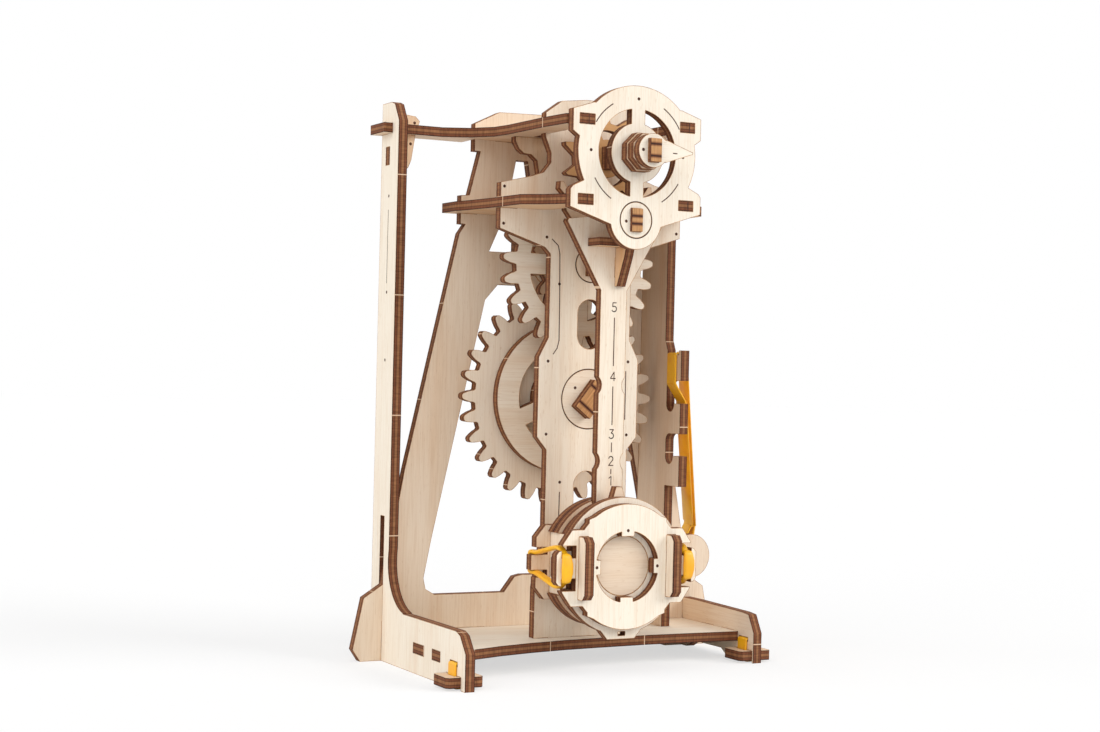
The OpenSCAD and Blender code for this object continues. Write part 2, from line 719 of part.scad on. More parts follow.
module crank_knob() {
    color("wheat") {
        sheet_y(crank_y, ply) translate([0, main_z]) rotate(main_axle_turn) translate([0, crank_r])
            circle(crank_pin_r - 0.03);
        sheet_y(crank_y + ply, knob_l) translate([0, main_z]) rotate(main_axle_turn) translate([0, crank_r])
            circle(knob_r);
    }
}

module slim_axle(z, y0, y1) { sheet_y(y0, y1 - y0) translate([0, z]) axle_hole(axle_w, axle_h, 0); }

module slim_disc(z, y) {
    sheet_y(y) difference() {
        translate([0, z]) circle(bush_r);
        slim_hole(z);
    }
}

module second_axle() { color("peru") slim_axle(second_z, gear_plate_y - 1.4, back_frame_y + ply + 0.9); }

module second_discs() {
    color("wheat") {
        slim_disc(second_z, gear_plate_y);
        slim_disc(second_z, back_frame_y);
    }
}

module second_gear() {
    color("burlywood") sheet_y(second_gear_y) difference() {
        translate([0, second_z])
            gear_2d(second_teeth, hand_mod, 0.9, 1.15, backlash, 90 + 180 / second_teeth);
        slim_hole(second_z);
        translate([0, second_z]) arc_windows(17.4, 10.5, 4, 6.5);
    }
}

module second_pinion() {
    color("tan") sheet_y(great_gear_y) difference() {
        translate([0, second_z]) gear_2d(second_pinion_teeth, great_mod, 0.8, 1.2, backlash + 0.03, -90);
        slim_hole(second_z);
    }
}

module hand_axle() { color("peru") slim_axle(hand_z, hand_tip_y, inner_plate_y + ply + 1); }

module hand_discs() {
    color("wheat") {
        slim_disc(hand_z, 0);
        slim_disc(hand_z, gear_plate_y);
        slim_disc(hand_z, inner_plate_y);
    }
}

module hand_pinion() {
    color("tan") sheet_y(second_gear_y) difference() {
        translate([0, hand_z]) gear_2d(hand_pinion_teeth, hand_mod, 0.7, 1.1, backlash + 0.03, -90);
        slim_hole(hand_z);
    }
}

// Pointed saw teeth that lean the way the wheel turns, with the wheel as it stands in the picture
escape_turn = 12.7;

module escape_wheel() {
    step = 360 / escape_teeth;
    root = escape_r - 4.2;
    color("peru") sheet_y(escape_y) difference() {
        translate([0, hand_z]) difference() {
            outline([for (k = [0:escape_teeth - 1], p = [[root, 0], [escape_r, step * 0.2],
                [escape_r - 0.4, step * 0.3], [root, step * 0.62]])
                let(a = escape_turn + k * step + p[1]) p[0] * [cos(a), sin(a)]]);
            arc_windows(root - 2.2, 5.8, 3, 3);
        }
        slim_hole(hand_z);
    }
}

// Two eight sided washers between the dial and the hand
module hub_washers() {
    color("tan") for (w = [[-ply - 0.4, 6.1], [-2 * ply - 0.4, 5.6]]) sheet_y(w[0]) difference() {
        translate([0, hand_z]) rotate(22.5) circle(w[1], $fn = 8);
        slim_hole(hand_z);
    }
}

// The hand is a disc with a tapered pointer
module hand() {
    color("wheat") sheet_y(-3 * ply - 0.4) difference() {
        translate([0, hand_z]) union() {
            circle(5);
            outline([[2, 3.3], [4.6, 3.2], [13.4, 0.3], [13.4, -0.3], [4.6, -3.2], [2, -3.3]]);
        }
        slim_hole(hand_z);
    }
}

module pendulum_axle() { color("peru") slim_axle(pendulum_z, -1, gear_plate_y + ply + 1.2); }

module pendulum_discs() {
    color("wheat") {
        slim_disc(pendulum_z, 0);
        slim_disc(pendulum_z, gear_plate_y);
    }
}

// The rod widens to a fork shaped head that hangs on the pendulum axle
module pendulum_rod() {
    h = rod_w / 2;
    color("wheat") sheet_y(rod_y) difference() {
        union() {
            mirrored_outline([[h - 1, rod_end_z], [h, rod_end_z + 1], [h, pendulum_z - 20.6],
                [16.4, pendulum_z - 0.4], [16, pendulum_z + 0.4], [9, pendulum_z + 1.4]]);
            translate([0, pendulum_z]) circle(7.4);
        }
        slim_hole(pendulum_z);
        // Two shallow grips on each edge
        both_sides() for (z = [main_z + 4.5, main_z - 18.4]) translate([h + 2.5, z]) circle(3.5);
        rect(rib_x - slot_gap, pendulum_z - 16.6, rib_x + ply + slot_gap, pendulum_z - 10.6);
    }
}

// The rib stiffens the head: it passes through the rod and carries the shelf
module pendulum_rib() {
    z0 = pendulum_z - 19.3;
    z1 = shelf_z - slot_gap;
    color("tan") sheet_x(rib_x) union() {
        outline([[rod_y - slot_gap, z0], [rod_y - slot_gap, z1], [rod_y - 6.4, z1],
            [rod_y - 5.4, z1 - 3], [rod_y - 1.2, z0]]);
        rect(rod_y - 0.5, pendulum_z - 16.5, rod_y + ply, pendulum_z - 10.7);
    }
}

shelf_z = pendulum_z - 7.6;
rib_x = 0.2;

module pendulum_shelf() {
    color("peru") sheet_z(shelf_z, 2.4) rect(-9.3, rod_y - 7, 5, rod_y - slot_gap);
}

// The anchor spans the lower part of the escape wheel and stays clear of its tips
module anchor() {
    inner = escape_r + pallet_gap;
    color("tan") sheet_y(escape_y) difference() {
        union() {
            translate([0, pendulum_z]) circle(6.6);
            mirrored_outline([[5, pendulum_z - 4.5], [12, pendulum_z + 1.2],
                [tab_in - 0.9, pendulum_z + 3.4],
                [tab_in - 0.9, middle_beam_z + ply + 0.8], [tab_in + 1.4, pendulum_z + 9.8],
                [tab_in + 1.2, pendulum_z + 12], [inner - 3, pendulum_z + 12]]);
        }
        // The arms stay clear of the tips at both ends of the swing, the middle needs less room
        translate([0, hand_z]) difference() {
            circle(inner);
            rect(-3.2, -inner - 1, 3.2, 0);
        }
        translate([0, hand_z]) circle(escape_r + 0.6);
        slim_hole(pendulum_z);
    }
}

module clamp_slots() {
    both_sides() rect(clamp_in - slot_gap, -clamp_half_h - slot_gap,
        clamp_in + ply + slot_gap, clamp_half_h + slot_gap);
}

// The same slots run out to the edge in the smaller discs
module open_clamp_slots() {
    both_sides() rect(clamp_in - slot_gap, -clamp_half_h - slot_gap, bob_r + 4, clamp_half_h + slot_gap);
}

// The front plate has stepped ears and a window with four teeth
module bob_front_plate() {
    step_x = bob_r - 7.4;
    step_z = bob_r - 6.4;
    ear_in = bob_ear_w - 3;
    band_h = front_tongue_h + bob_band_t + 0.3;
    color("wheat") sheet_y(bob_y1) translate([0, bob_z]) difference() {
        union() {
            circle(bob_r - 2);
            mirrored_outline([[step_x - 2.7, -step_z - 1], [step_x, -step_z], [step_x, -bob_ear_h],
                [ear_in, -bob_ear_h], [bob_ear_w, -band_h - 0.4], [bob_ear_w, band_h + 0.4],
                [ear_in, bob_ear_h], [step_x, bob_ear_h], [step_x, step_z], [step_x - 2.7, step_z + 1]]);
        }
        difference() {
            circle(bob_window_r);
            for (k = [0:3]) rotate(90 * k) translate([bob_window_r - 1.6, -2.2]) square([3, 4.4]);
        }
        both_sides() rect(bob_band_x - 0.15, -band_h, bob_ear_w + 1, band_h);
        clamp_slots();
    }
}

// The round cap fills the hole of the large disc, flush with it
module bob_cap() { color("wheat") sheet_y(bob_y2) translate([0, bob_z]) circle(cap_r); }

// The large disc has a lug at its bottom and a tongue on each side
module bob_front_disc() {
    notch_h = bob_band_t + 0.2;
    lug_w = bob_r / 3;
    color("wheat") sheet_y(bob_y2) translate([0, bob_z]) difference() {
        union() {
            circle(bob_r - 0.2);
            mirrored_outline([[lug_w, -bob_r + 1.4], [lug_w - 2.2, -bob_r - 1.2]]);
            mirrored_outline([[bob_ear_w - 1, -front_tongue_h], [bob_ear_w + 0.7, -front_tongue_h + 2.2],
                [bob_ear_w + 0.7, front_tongue_h - 2.2], [bob_ear_w - 1, front_tongue_h]]);
        }
        circle(cap_r + slot_gap);
        both_sides() for (z = [front_tongue_h, -front_tongue_h - notch_h])
            rect(bob_band_x - 0.15, z, bob_ear_w + 1, z + notch_h);
        clamp_slots();
        rect(-1, -bob_r - 0.2, 1.4, -bob_r + 1);
    }
}

// The first of the two core discs carries the arrow that points at the numbers on the rod
module bob_core() {
    color("tan") {
        sheet_y(bob_y3, ply) translate([0, bob_z]) difference() {
            union() {
                circle(core_r);
                outline([[-2.6, core_r - 1.6], [-1, bob_r + 2.7], [1, bob_r + 2.7], [2.6, core_r - 1.6]]);
            }
            open_clamp_slots();
        }
        sheet_y(bob_y3 + ply, ply) translate([0, bob_z]) difference() {
            circle(core_r - 1.2);
            open_clamp_slots();
        }
    }
}

// Two half moons beside the rod make the channel that it slides in
module bob_spacers() {
    color("tan") sheet_y(bob_y4, ply + 2 * rod_gap) translate([0, bob_z]) difference() {
        circle(core_r);
        rect(-rod_w / 2 - 1.4, -25, rod_w / 2 + 1.4, 25);
        open_clamp_slots();
    }
}

module bob_rear_disc() {
    color("wheat") sheet_y(bob_y5) translate([0, bob_z]) difference() {
        circle(core_r);
        open_clamp_slots();
    }
}

module bob_rear_plate() {
    ear = bob_ear_w - 0.6;
    color("wheat") sheet_y(bob_y6) translate([0, bob_z]) difference() {
        union() {
            circle(bob_r - 3.2);
            mirrored_outline([[ear - 3, -bob_ear_h], [ear, -bob_ear_h + 3.6], [ear, -rear_tongue_h],
                [bob_ear_w + 1, -rear_tongue_h], [bob_ear_w + 1, rear_tongue_h],
                [ear, rear_tongue_h], [ear, bob_ear_h - 3.6], [ear - 3, bob_ear_h]]);
        }
        circle(7);
        both_sides() for (z = [rear_tongue_h, -rear_tongue_h - bob_band_t - 0.8])
            rect(bob_band_x - 0.15, z, bob_ear_w + 2, z + bob_band_t + 0.8);
        clamp_slots();
    }
}

module bob_clamps() {
    y0 = bob_y1 - clamp_out_y;
    color("peru") for (x = [-clamp_in - ply, clamp_in]) sheet_x(x) translate([0, bob_z])
        outline([[y0, -clamp_half_h + 1.6], [y0 + 1.4, -clamp_half_h], [bob_back_y + 0.6, -clamp_half_h],
            [bob_back_y + 1.8, -clamp_half_h + 1.6], [bob_back_y + 1.8, clamp_half_h - 1.6],
            [bob_back_y + 0.6, clamp_half_h], [y0 + 1.4, clamp_half_h], [y0, clamp_half_h - 1.6]]);
}

// A rubber band on each side ties the wide front tongue to the narrow rear one
function band_side(grow) = let(zf = front_tongue_h + 0.05 + grow, zr = rear_tongue_h + 0.05 + grow)
    [[bob_y2 - 0.05 - grow, zf], [bob_y3 + 0.05, zf], [bob_y6 - 0.05, zr], [bob_back_y + 0.05 + grow, zr]];

module band_loop_2d(grow) {
    side = band_side(grow);
    outline(concat(side, backward([for (p = side) [p[0], -p[1]]])));
}

module bob_bands() {
    color("gold") for (x = [bob_band_x, -bob_band_x - bob_band_w]) sheet_x(x, bob_band_w)
        translate([0, bob_z]) difference() {
            band_loop_2d(bob_band_t);
            band_loop_2d(0);
        }
}

dial_plate();
gear_plate();
back_frame();
inner_plate();
left_side_plate();
right_foot_plate();
base_plate();
top_beam();
middle_beam();
hook_plate();
post_bracket();
left_pad();
right_pad();
foot_bands();
band_roller();
drive_band();
main_axle();
main_discs();
great_gear();
ratchet_disc();
drum();
winding_crank();
crank_knob();
second_axle();
second_discs();
second_gear();
second_pinion();
hand_axle();
hand_discs();
hand_pinion();
escape_wheel();
hub_washers();
hand();
pendulum_axle();
pendulum_discs();
pendulum_rod();
pendulum_rib();
pendulum_shelf();
anchor();
bob_front_plate();
bob_cap();
bob_front_disc();
bob_core();
bob_spacers();
bob_rear_disc();
bob_rear_plate();
bob_clamps();
bob_bands();
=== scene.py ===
"""Dresses a packed plywood pendulum mechanism: birch veneer, burnt edges, engraved marks and rubber bands."""

import json
import math

import bpy
import numpy as np
from mathutils import Matrix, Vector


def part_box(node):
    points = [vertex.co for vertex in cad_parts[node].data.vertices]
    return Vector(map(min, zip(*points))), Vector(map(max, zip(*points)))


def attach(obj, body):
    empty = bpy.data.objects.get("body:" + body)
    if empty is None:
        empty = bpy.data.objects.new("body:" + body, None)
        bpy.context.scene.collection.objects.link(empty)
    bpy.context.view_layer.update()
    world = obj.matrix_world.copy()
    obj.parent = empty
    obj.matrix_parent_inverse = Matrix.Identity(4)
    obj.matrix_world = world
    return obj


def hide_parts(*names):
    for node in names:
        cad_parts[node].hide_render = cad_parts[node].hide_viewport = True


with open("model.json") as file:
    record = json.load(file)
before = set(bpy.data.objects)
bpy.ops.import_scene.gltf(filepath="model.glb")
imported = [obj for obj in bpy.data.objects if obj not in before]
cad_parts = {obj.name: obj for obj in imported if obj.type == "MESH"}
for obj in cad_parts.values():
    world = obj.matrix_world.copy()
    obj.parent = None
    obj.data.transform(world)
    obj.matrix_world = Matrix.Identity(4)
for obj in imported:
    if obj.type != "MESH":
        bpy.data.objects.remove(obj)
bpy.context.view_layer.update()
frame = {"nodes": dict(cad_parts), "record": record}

bl_info = {
    "name": "Plywood pendulum mechanism",
    "version": (1, 1, 0),
    "blender": (4, 5, 0),
    "location": "View3D > Sidebar > Pendulum",
    "description": "Finishes for a laser-cut plywood pendulum mechanism",
    "category": "Object",
}

# Places read from the CAD model, in millimetres; depths count back from the front of the dial plate

DIAL_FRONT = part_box("dial_plate")[0][1] * 1000


def box_mm(node):
    """The low and high corners of a CAD node, in millimetres behind the dial's front."""
    low, high = np.array(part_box(node)) * 1000
    shift = np.array([0.0, DIAL_FRONT, 0.0])
    return low - shift, high - shift


def height(node):
    """The height of the middle of a CAD node above the ground, in millimetres."""
    low, high = box_mm(node)
    return float(low[2] + high[2]) / 2


def face(node, axis, side=-1):
    """The place of the low or the high face of a CAD node along an axis, in millimetres."""
    return float(box_mm(node)[0 if side < 0 else 1][axis])


PLY = face("dial_plate", 1, 1) - face("dial_plate", 1)
HAND_Z, SWING_Z = height("hand_axle"), height("pendulum_axle")
MAIN_Z, BOB_Z = height("main_discs"), height("bob_cap")
TOP_BEAM_Z, MIDDLE_BEAM_Z = height("top_beam"), height("middle_beam")

AXIS = {"X": 0, "Y": 1, "Z": 2}

# Node: the axis that its sheet faces along, the grain axis on the face, and how much the wood is toned down,
# partly its own tone and partly painted shade: pieces that lie in shade deep in the frame get more of it
SHEETS = {
    "dial_plate": ("Y", "Z", 0.00), "gear_plate": ("Y", "Z", 0.14), "back_frame": ("Y", "Z", 0.32),
    "inner_plate": ("Y", "Z", 0.50), "left_side_plate": ("X", "Z", 0.03),
    "right_foot_plate": ("X", "Y", 0.25), "base_plate": ("Z", "X", 0.00), "top_beam": ("Z", "X", 0.50),
    "middle_beam": ("Z", "X", 0.75), "hook_plate": ("X", "Z", 0.50), "post_bracket": ("Y", "Z", 0.60),
    "left_pad": ("Z", "X", 0.45), "right_pad": ("Z", "X", 0.45), "main_discs": ("Y", "X", 0.15),
    "great_gear": ("Y", "Z", 0.25), "ratchet_disc": ("Y", "X", 0.17), "drum": ("Y", "Z", 0.60),
    "winding_crank": ("Y", "Z", 0.40), "crank_knob": ("Y", "Z", 0.40), "second_discs": ("Y", "Z", 0.20),
    "second_gear": ("Y", "X", 0.18), "second_pinion": ("Y", "Z", 0.50), "hand_discs": ("Y", "X", 0.05),
    "hand_pinion": ("Y", "Z", 0.50), "escape_wheel": ("Y", "X", 1.00), "hub_washers": ("Y", "Z", 0.50),
    "hand": ("Y", "X", 0.00), "pendulum_discs": ("Y", "Z", 0.00), "pendulum_rod": ("Y", "Z", 0.14),
    "pendulum_rib": ("X", "Z", 0.80), "pendulum_shelf": ("Z", "X", 0.80), "anchor": ("Y", "X", 0.45),
    "bob_front_plate": ("Y", "Z", 0.00), "bob_cap": ("Y", "X", 0.36), "bob_front_disc": ("Y", "Z", 0.08),
    "bob_core": ("Y", "X", 0.40), "bob_spacers": ("Y", "Z", 0.45), "bob_rear_disc": ("Y", "X", 0.45),
    "bob_rear_plate": ("Y", "Z", 0.45), "bob_clamps": ("X", "Z", 0.12), "band_roller": ("Y", "Z", 0.20),
}
# Axle: its turn in degrees as it stands, and how far the joints on its ends lie from its middle, in mm
AXLES = {"main_axle": (-38.0, 3.2), "second_axle": (0.0, 1.7), "hand_axle": (0.0, 1.75),
         "pendulum_axle": (0.0, 1.15)}
# Sheets whose pale ticks are moved along the cut edges, by so many mm, to where the photograph shows them
TICK_SHIFTS = {"left_side_plate": -13.2, "right_foot_plate": -11.0, "base_plate": 13.0}
# Distance and width of the ticks, and the least size of a piece that has them, in mm
TICK_STEP, TICK_W, TICKED_SIZE = 37.0, 0.3, 46.0
# How far scorched rims and engraved marks stand in front of the veneer, in mm
RIM_LIFT, MARK_LIFT = 0.01, 0.015

# The marks lie on faces square to one axis. A dot is a pair, a line is a list of pairs, and an arc is a
# middle, a radius and two angles. Each pair is (x, z) on faces along Y and (y, z) on faces along X.


def ring(node):
    """A dark circle drawn on the sheet just outside the rim of a round disc that lies in or on it."""
    low, high = box_mm(node)
    return ("arc", (low[0] + high[0]) / 2, height(node), (high[0] - low[0]) / 2 + 0.12, 0, 360)


DIAL_MARKS = (
    [(0.0, HAND_Z + 16.1), (-15.7, HAND_Z - 0.1), (15.7, HAND_Z - 0.1), (-3.3, SWING_Z - 0.5)],
    [("arc", 0.0, HAND_Z, 16.4, start, start + 28) for start in (30, 122, 210, 302)]
    + [[(x, z - PLY / 2), (x, z + PLY / 2)] for x in (-16.6, 17.8) for z in (TOP_BEAM_Z, MIDDLE_BEAM_Z)]
    + [ring("pendulum_discs")],
)
GEAR_PLATE_SIDE = [(13.8, 48.7), (11.6, 46.8), (11.0, 44.2), (10.7, 29.8), (10.6, 17.8), (11.2, 15.4),
                   (12.5, 13.6)]
GEAR_PLATE_MARKS = (
    [(x, MAIN_Z + z) for x, z in ((-30.4, 63.8), (-30.4, 52.6), (30.4, 52.6), (-15.6, 49.2), (-10.9, 35.1),
                                  (-14.2, 11.4), (-14.3, -10.9), (-9.2, -25.6), (13.9, 11.8), (13.9, -11.0),
                                  (-9.5, -40.6))],
    [[(side * x, MAIN_Z + z) for x, z in GEAR_PLATE_SIDE] for side in (-1, 1)]
    + [[(-9.2, MAIN_Z - 28.6), (-9.3, MAIN_Z - 38.6)], [(13.2, MAIN_Z + 8.8), (13.2, MAIN_Z - 6.2)]]
    + [ring("main_discs"), ring("second_discs")],
)
POST_Y = face("left_side_plate", 1, 1) - 6.8
POST_MARKS = (
    [(POST_Y + 0.3, z) for z in (MAIN_Z + 61.4, MAIN_Z + 31.6, MAIN_Z + 10.6, 17.8)],
    [[(POST_Y + 0.4, MAIN_Z + 57.1), (POST_Y + 0.5, MAIN_Z + 34.4)]],
)
ROD_MARKS = (
    [],
    [[(0.4, BOB_Z + high), (0.4, BOB_Z + low)] for high, low in ((73.9, 59.4), (53.1, 41.6), (36.2, 33.4),
                                                                (28.2, 26.8))],
)
# Body: on each face its axis, the node that carries it, and the marks
ENGRAVED = {
    "frame": [("Y", "dial_plate", DIAL_MARKS), ("Y", "gear_plate", GEAR_PLATE_MARKS),
              ("X", "left_side_plate", POST_MARKS),
              ("Y", "post_bracket", ([(-46.9, TOP_BEAM_Z + 2.3), (-48.1, TOP_BEAM_Z - 4.3)], []))],
    "pendulum": [("Y", "pendulum_rod", ROD_MARKS)],
    "main_train": [("Y", "main_discs", ([(-4.6, MAIN_Z + 3.4), (5.2, MAIN_Z - 3.0)], []))],
    "hand_train": [("Y", "hand", ([(-3.5, HAND_Z)], [[(6.6, HAND_Z - 0.4), (8.0, HAND_Z - 0.4)]]))],
    "bob": [("Y", "bob_front_plate", ([(0.0, BOB_Z + 10.7), (-10.3, BOB_Z), (10.3, BOB_Z)], []))],
}
# The bob's bands lie this far out, on a tab's neck of this half height in each ear of the front plate
BAND_X, TAB_NECK = 20.7, 3.0
# Single-line digits in a box one high, as an engraving machine draws them
DIGITS = {
    "1": [[(0.10, 0.78), (0.38, 1.00), (0.38, 0.00)]],
    "2": [[("arc", 0.30, 0.73, 0.27, 170, -30), (0.03, 0.00), (0.60, 0.00)]],
    "3": [[(0.06, 1.00), (0.56, 1.00), (0.27, 0.62), ("arc", 0.27, 0.31, 0.30, 80, -150)]],
    "4": [[(0.46, 0.00), (0.46, 1.00), (0.00, 0.28), (0.64, 0.28)]],
    "5": [[(0.54, 1.00), (0.10, 1.00), (0.08, 0.56), ("arc", 0.26, 0.31, 0.30, 115, -150)]],
}
# The middle of that box, and the width of a digit's line as a share of the other marks' width
DIGIT_MIDDLE, DIGIT_LINE = (0.3, 0.5), 0.9
# Height of each number above the middle of the bob, and how far right of the rod's middle they stand, in mm
ROD_NUMBERS = {"5": 77.1, "4": 56.2, "3": 38.8, "2": 30.7, "1": 24.7}
NUMBER_X = 0.3

# The camera stands here. It looks so many degrees to the right and down, and leans so many.
CAMERA_PLACE = (-281.23, -487.32, 91.31)
CAMERA_TURN, CAMERA_DIP, CAMERA_LEAN = 27.5, 0.08, 1.37

# Lamp: degrees to the right of the front, degrees above the ground, apparent size in degrees, share of light
LAMPS = {"key_lamp": (50, 29, 36, 0.57), "front_lamp": (-36, 46, 60, 0.34), "side_lamp": (-90, 18, 60, 0.38)}
# The share of the floor's light that the camera sees on it as shade, and the rest is lifted to white
SHADE_SHARE = 0.36


class PendulumWood(bpy.types.PropertyGroup):
    face: bpy.props.StringProperty(
        name="Birch face", description="sRGB hex of the pale face veneer", default="#F2E7D6")
    # The toned colour stands for the veneer's darker tone and for painted shade, by each sheet's share
    toned_and_shaded: bpy.props.StringProperty(
        name="Toned face", description="sRGB hex of the darkest veneer", default="#D3A26D")
    burnt: bpy.props.StringProperty(
        name="Burnt edge", description="sRGB hex of the laser-cut edge", default="#75452B")
    char: bpy.props.StringProperty(
        name="Charred line", description="sRGB hex of the darkest burn", default="#33190D")
    scorch_w: bpy.props.FloatProperty(
        name="Scorch width", description="Width of the tan line along each cut", default=0.00014,
        min=0.00005, max=0.0006, unit="LENGTH", precision=5)
    mark_w: bpy.props.FloatProperty(
        name="Mark width", description="Width of an engraved line", default=0.00033,
        min=0.0002, max=0.0008, unit="LENGTH", precision=5)
    dot_r: bpy.props.FloatProperty(
        name="Dot radius", description="Radius of an engraved dot", default=0.00050,
        min=0.0002, max=0.001, unit="LENGTH", precision=5)
    number_h: bpy.props.FloatProperty(
        name="Number height", description="Height of the numbers on the rod", default=0.0027,
        min=0.0015, max=0.004, unit="LENGTH", precision=5)


class PendulumRubber(bpy.types.PropertyGroup):
    colour: bpy.props.StringProperty(
        name="Rubber", description="sRGB hex of the rubber bands", default="#FBBC12")
    deep: bpy.props.StringProperty(
        name="Thick rubber", description="sRGB hex of the cloudy places in the rubber", default="#EC9C1C")
    drive_w: bpy.props.FloatProperty(
        name="Drive band width", description="Width of the long band", default=0.0054,
        min=0.003, max=0.0062, unit="LENGTH", precision=4)


class PendulumStage(bpy.types.PropertyGroup):
    floor: bpy.props.StringProperty(
        name="Floor", description="sRGB hex of the floor", default="#E8E8E8")
    lens: bpy.props.FloatProperty(
        name="Lens", description="Focal length that matches the photograph", default=62.13,
        min=20, max=200, unit="CAMERA")
    sky: bpy.props.FloatProperty(
        name="Sky", description="Strength of the even light from all around", default=0.42, min=0.0, max=2.0)
    lamps: bpy.props.FloatProperty(
        name="Lamps", description="Strength of the soft lamps together", default=1.0, min=0.0, max=3.0)


def at(x, y, z):
    """Millimetres counted from the middle, the dial's front and the ground, as metres in the row frame."""
    return np.array([x, y + DIAL_FRONT, z], float) / 1000


def points_at(points):
    """The same for many points at once: an array of rows (x, y, z)."""
    return (np.asarray(points, float) + np.array([0.0, DIAL_FRONT, 0.0])) / 1000


def linear(code):
    """An sRGB hex colour as linear RGBA: channels above 0.04045 go through ((c + 0.055) / 1.055) ** 2.4."""
    c = np.array([int(code[i : i + 2], 16) for i in (1, 3, 5)]) / 255
    out = np.where(c <= 0.04045, c / 12.92, ((c + 0.055) / 1.055) ** 2.4)
    return (*out.tolist(), 1.0)


def mixed(code_a, code_b, share):
    """The colour a given share of the way from one hex colour to the other, as linear RGBA."""
    a, b = np.array(linear(code_a)), np.array(linear(code_b))
    return tuple((a + (b - a) * share).tolist())


def settings(name):
    """The user's sizes and colours of one group."""
    return getattr(bpy.context.scene, name)


def new_piece(name, verts, faces, material, body, smooth=False):
    """A mesh object from an array of points and an array or a list of faces, riding on a body."""
    mesh = bpy.data.meshes.new(name)
    rows = faces.tolist() if isinstance(faces, np.ndarray) else faces
    mesh.from_pydata(np.asarray(verts, float).tolist(), [], rows)
    mesh.validate()
    mesh.update()
    if smooth:
        mesh.shade_smooth()
    mesh.materials.append(material)
    obj = bpy.data.objects.new(name, mesh)
    bpy.context.scene.collection.objects.link(obj)
    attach(obj, body)
    return obj


def wood_quads(name, verts, material, body):
    """Loose quads on the wood, from four rows of points each."""
    new_piece(name, verts, np.arange(len(verts)).reshape(-1, 4), material, body)


def new_material(name):
    """A material with its node tree and its main shader."""
    mat = bpy.data.materials.new(name)
    mat.use_nodes = True
    return mat, mat.node_tree, mat.node_tree.nodes["Principled BSDF"]


def made_once(name, make):
    """The material of that name, which is made where it isn't there yet."""
    return bpy.data.materials.get(name) or make()


def add(tree, kind, links=None, values=None, stops=None, **options):
    """One shader node with its options, its sockets' values and links, and the stops of a colour ramp."""
    node = tree.nodes.new(kind)
    for key, value in options.items():
        setattr(node, key, value)
    for key, value in (values or {}).items():
        node.inputs[key].default_value = value
    for key, source in (links or {}).items():
        tree.links.new(source, node.inputs[key])
    if stops:
        elements = node.color_ramp.elements
        while len(elements) < len(stops):
            elements.new(0.5)
        for element, (position, colour) in zip(elements, stops, strict=True):
            element.position = position
            element.color = colour
    return node


# Materials


def grain_scale(axis, across_mm, along_mm):
    """The scale of a pattern that is so wide across the grain and so long along it, for a Mapping node."""
    scale = [1000 / across_mm] * 3
    scale[AXIS[axis]] = 1000 / along_mm
    return scale


def birch_veneer(tree, place, grain, toned_and_shaded):
    """Rotary-cut birch face: cream, with faint streaks 0.45 mm wide, slow bands 6 mm wide and short dark
    flecks, taken by the sheet's share towards the toned colour: partly its own tone, partly painted shade.
    Gives the colour socket and a height socket for the bump."""
    wood = settings("pendulum_wood")
    fine = add(tree, "ShaderNodeMapping", {"Vector": place}, {"Scale": grain_scale(grain, 0.45, 14)})
    streak = add(tree, "ShaderNodeTexNoise", {"Vector": fine.outputs[0]},
                 {"Scale": 1, "Detail": 3, "Roughness": 0.6})
    slow = add(tree, "ShaderNodeMapping", {"Vector": place}, {"Scale": grain_scale(grain, 6, 60)})
    band = add(tree, "ShaderNodeTexNoise", {"Vector": slow.outputs[0]},
               {"Scale": 1, "Detail": 2, "Roughness": 0.5, "Distortion": 0.6})
    short = add(tree, "ShaderNodeMapping", {"Vector": place}, {"Scale": grain_scale(grain, 0.35, 2.4)})
    fleck = add(tree, "ShaderNodeTexNoise", {"Vector": short.outputs[0]},
                {"Scale": 1, "Detail": 1, "Roughness": 0.4})
    # Partly painted shade: the tone goes towards the toned colour by the sheet's share, more where the sheet
    # lies in shade
    tone = add(tree, "ShaderNodeValToRGB", {"Fac": band.outputs["Fac"]}, stops=[
        (0.30, mixed(wood.face, wood.toned_and_shaded, max(0.0, toned_and_shaded - 0.08))),
        (0.52, mixed(wood.face, wood.toned_and_shaded, toned_and_shaded)),
        (0.74, mixed(wood.face, wood.toned_and_shaded, min(1.1, toned_and_shaded + 0.18)))])
    line = add(tree, "ShaderNodeValToRGB", {"Fac": streak.outputs["Fac"]}, stops=[
        (0.32, (0.90, 0.85, 0.79, 1)), (0.54, (1, 1, 1, 1))])
    spots = add(tree, "ShaderNodeValToRGB", {"Fac": fleck.outputs["Fac"]}, stops=[
        (0.24, (0.80, 0.70, 0.60, 1)), (0.34, (1, 1, 1, 1))])
    lined = add(tree, "ShaderNodeMix", {6: tone.outputs["Color"], 7: line.outputs["Color"]}, {0: 0.75},
                data_type="RGBA", blend_type="MULTIPLY")
    flecked = add(tree, "ShaderNodeMix", {6: lined.outputs[2], 7: spots.outputs["Color"]}, {0: 0.5},
                  data_type="RGBA", blend_type="MULTIPLY")
    return flecked.outputs[2], streak.outputs["Fac"]


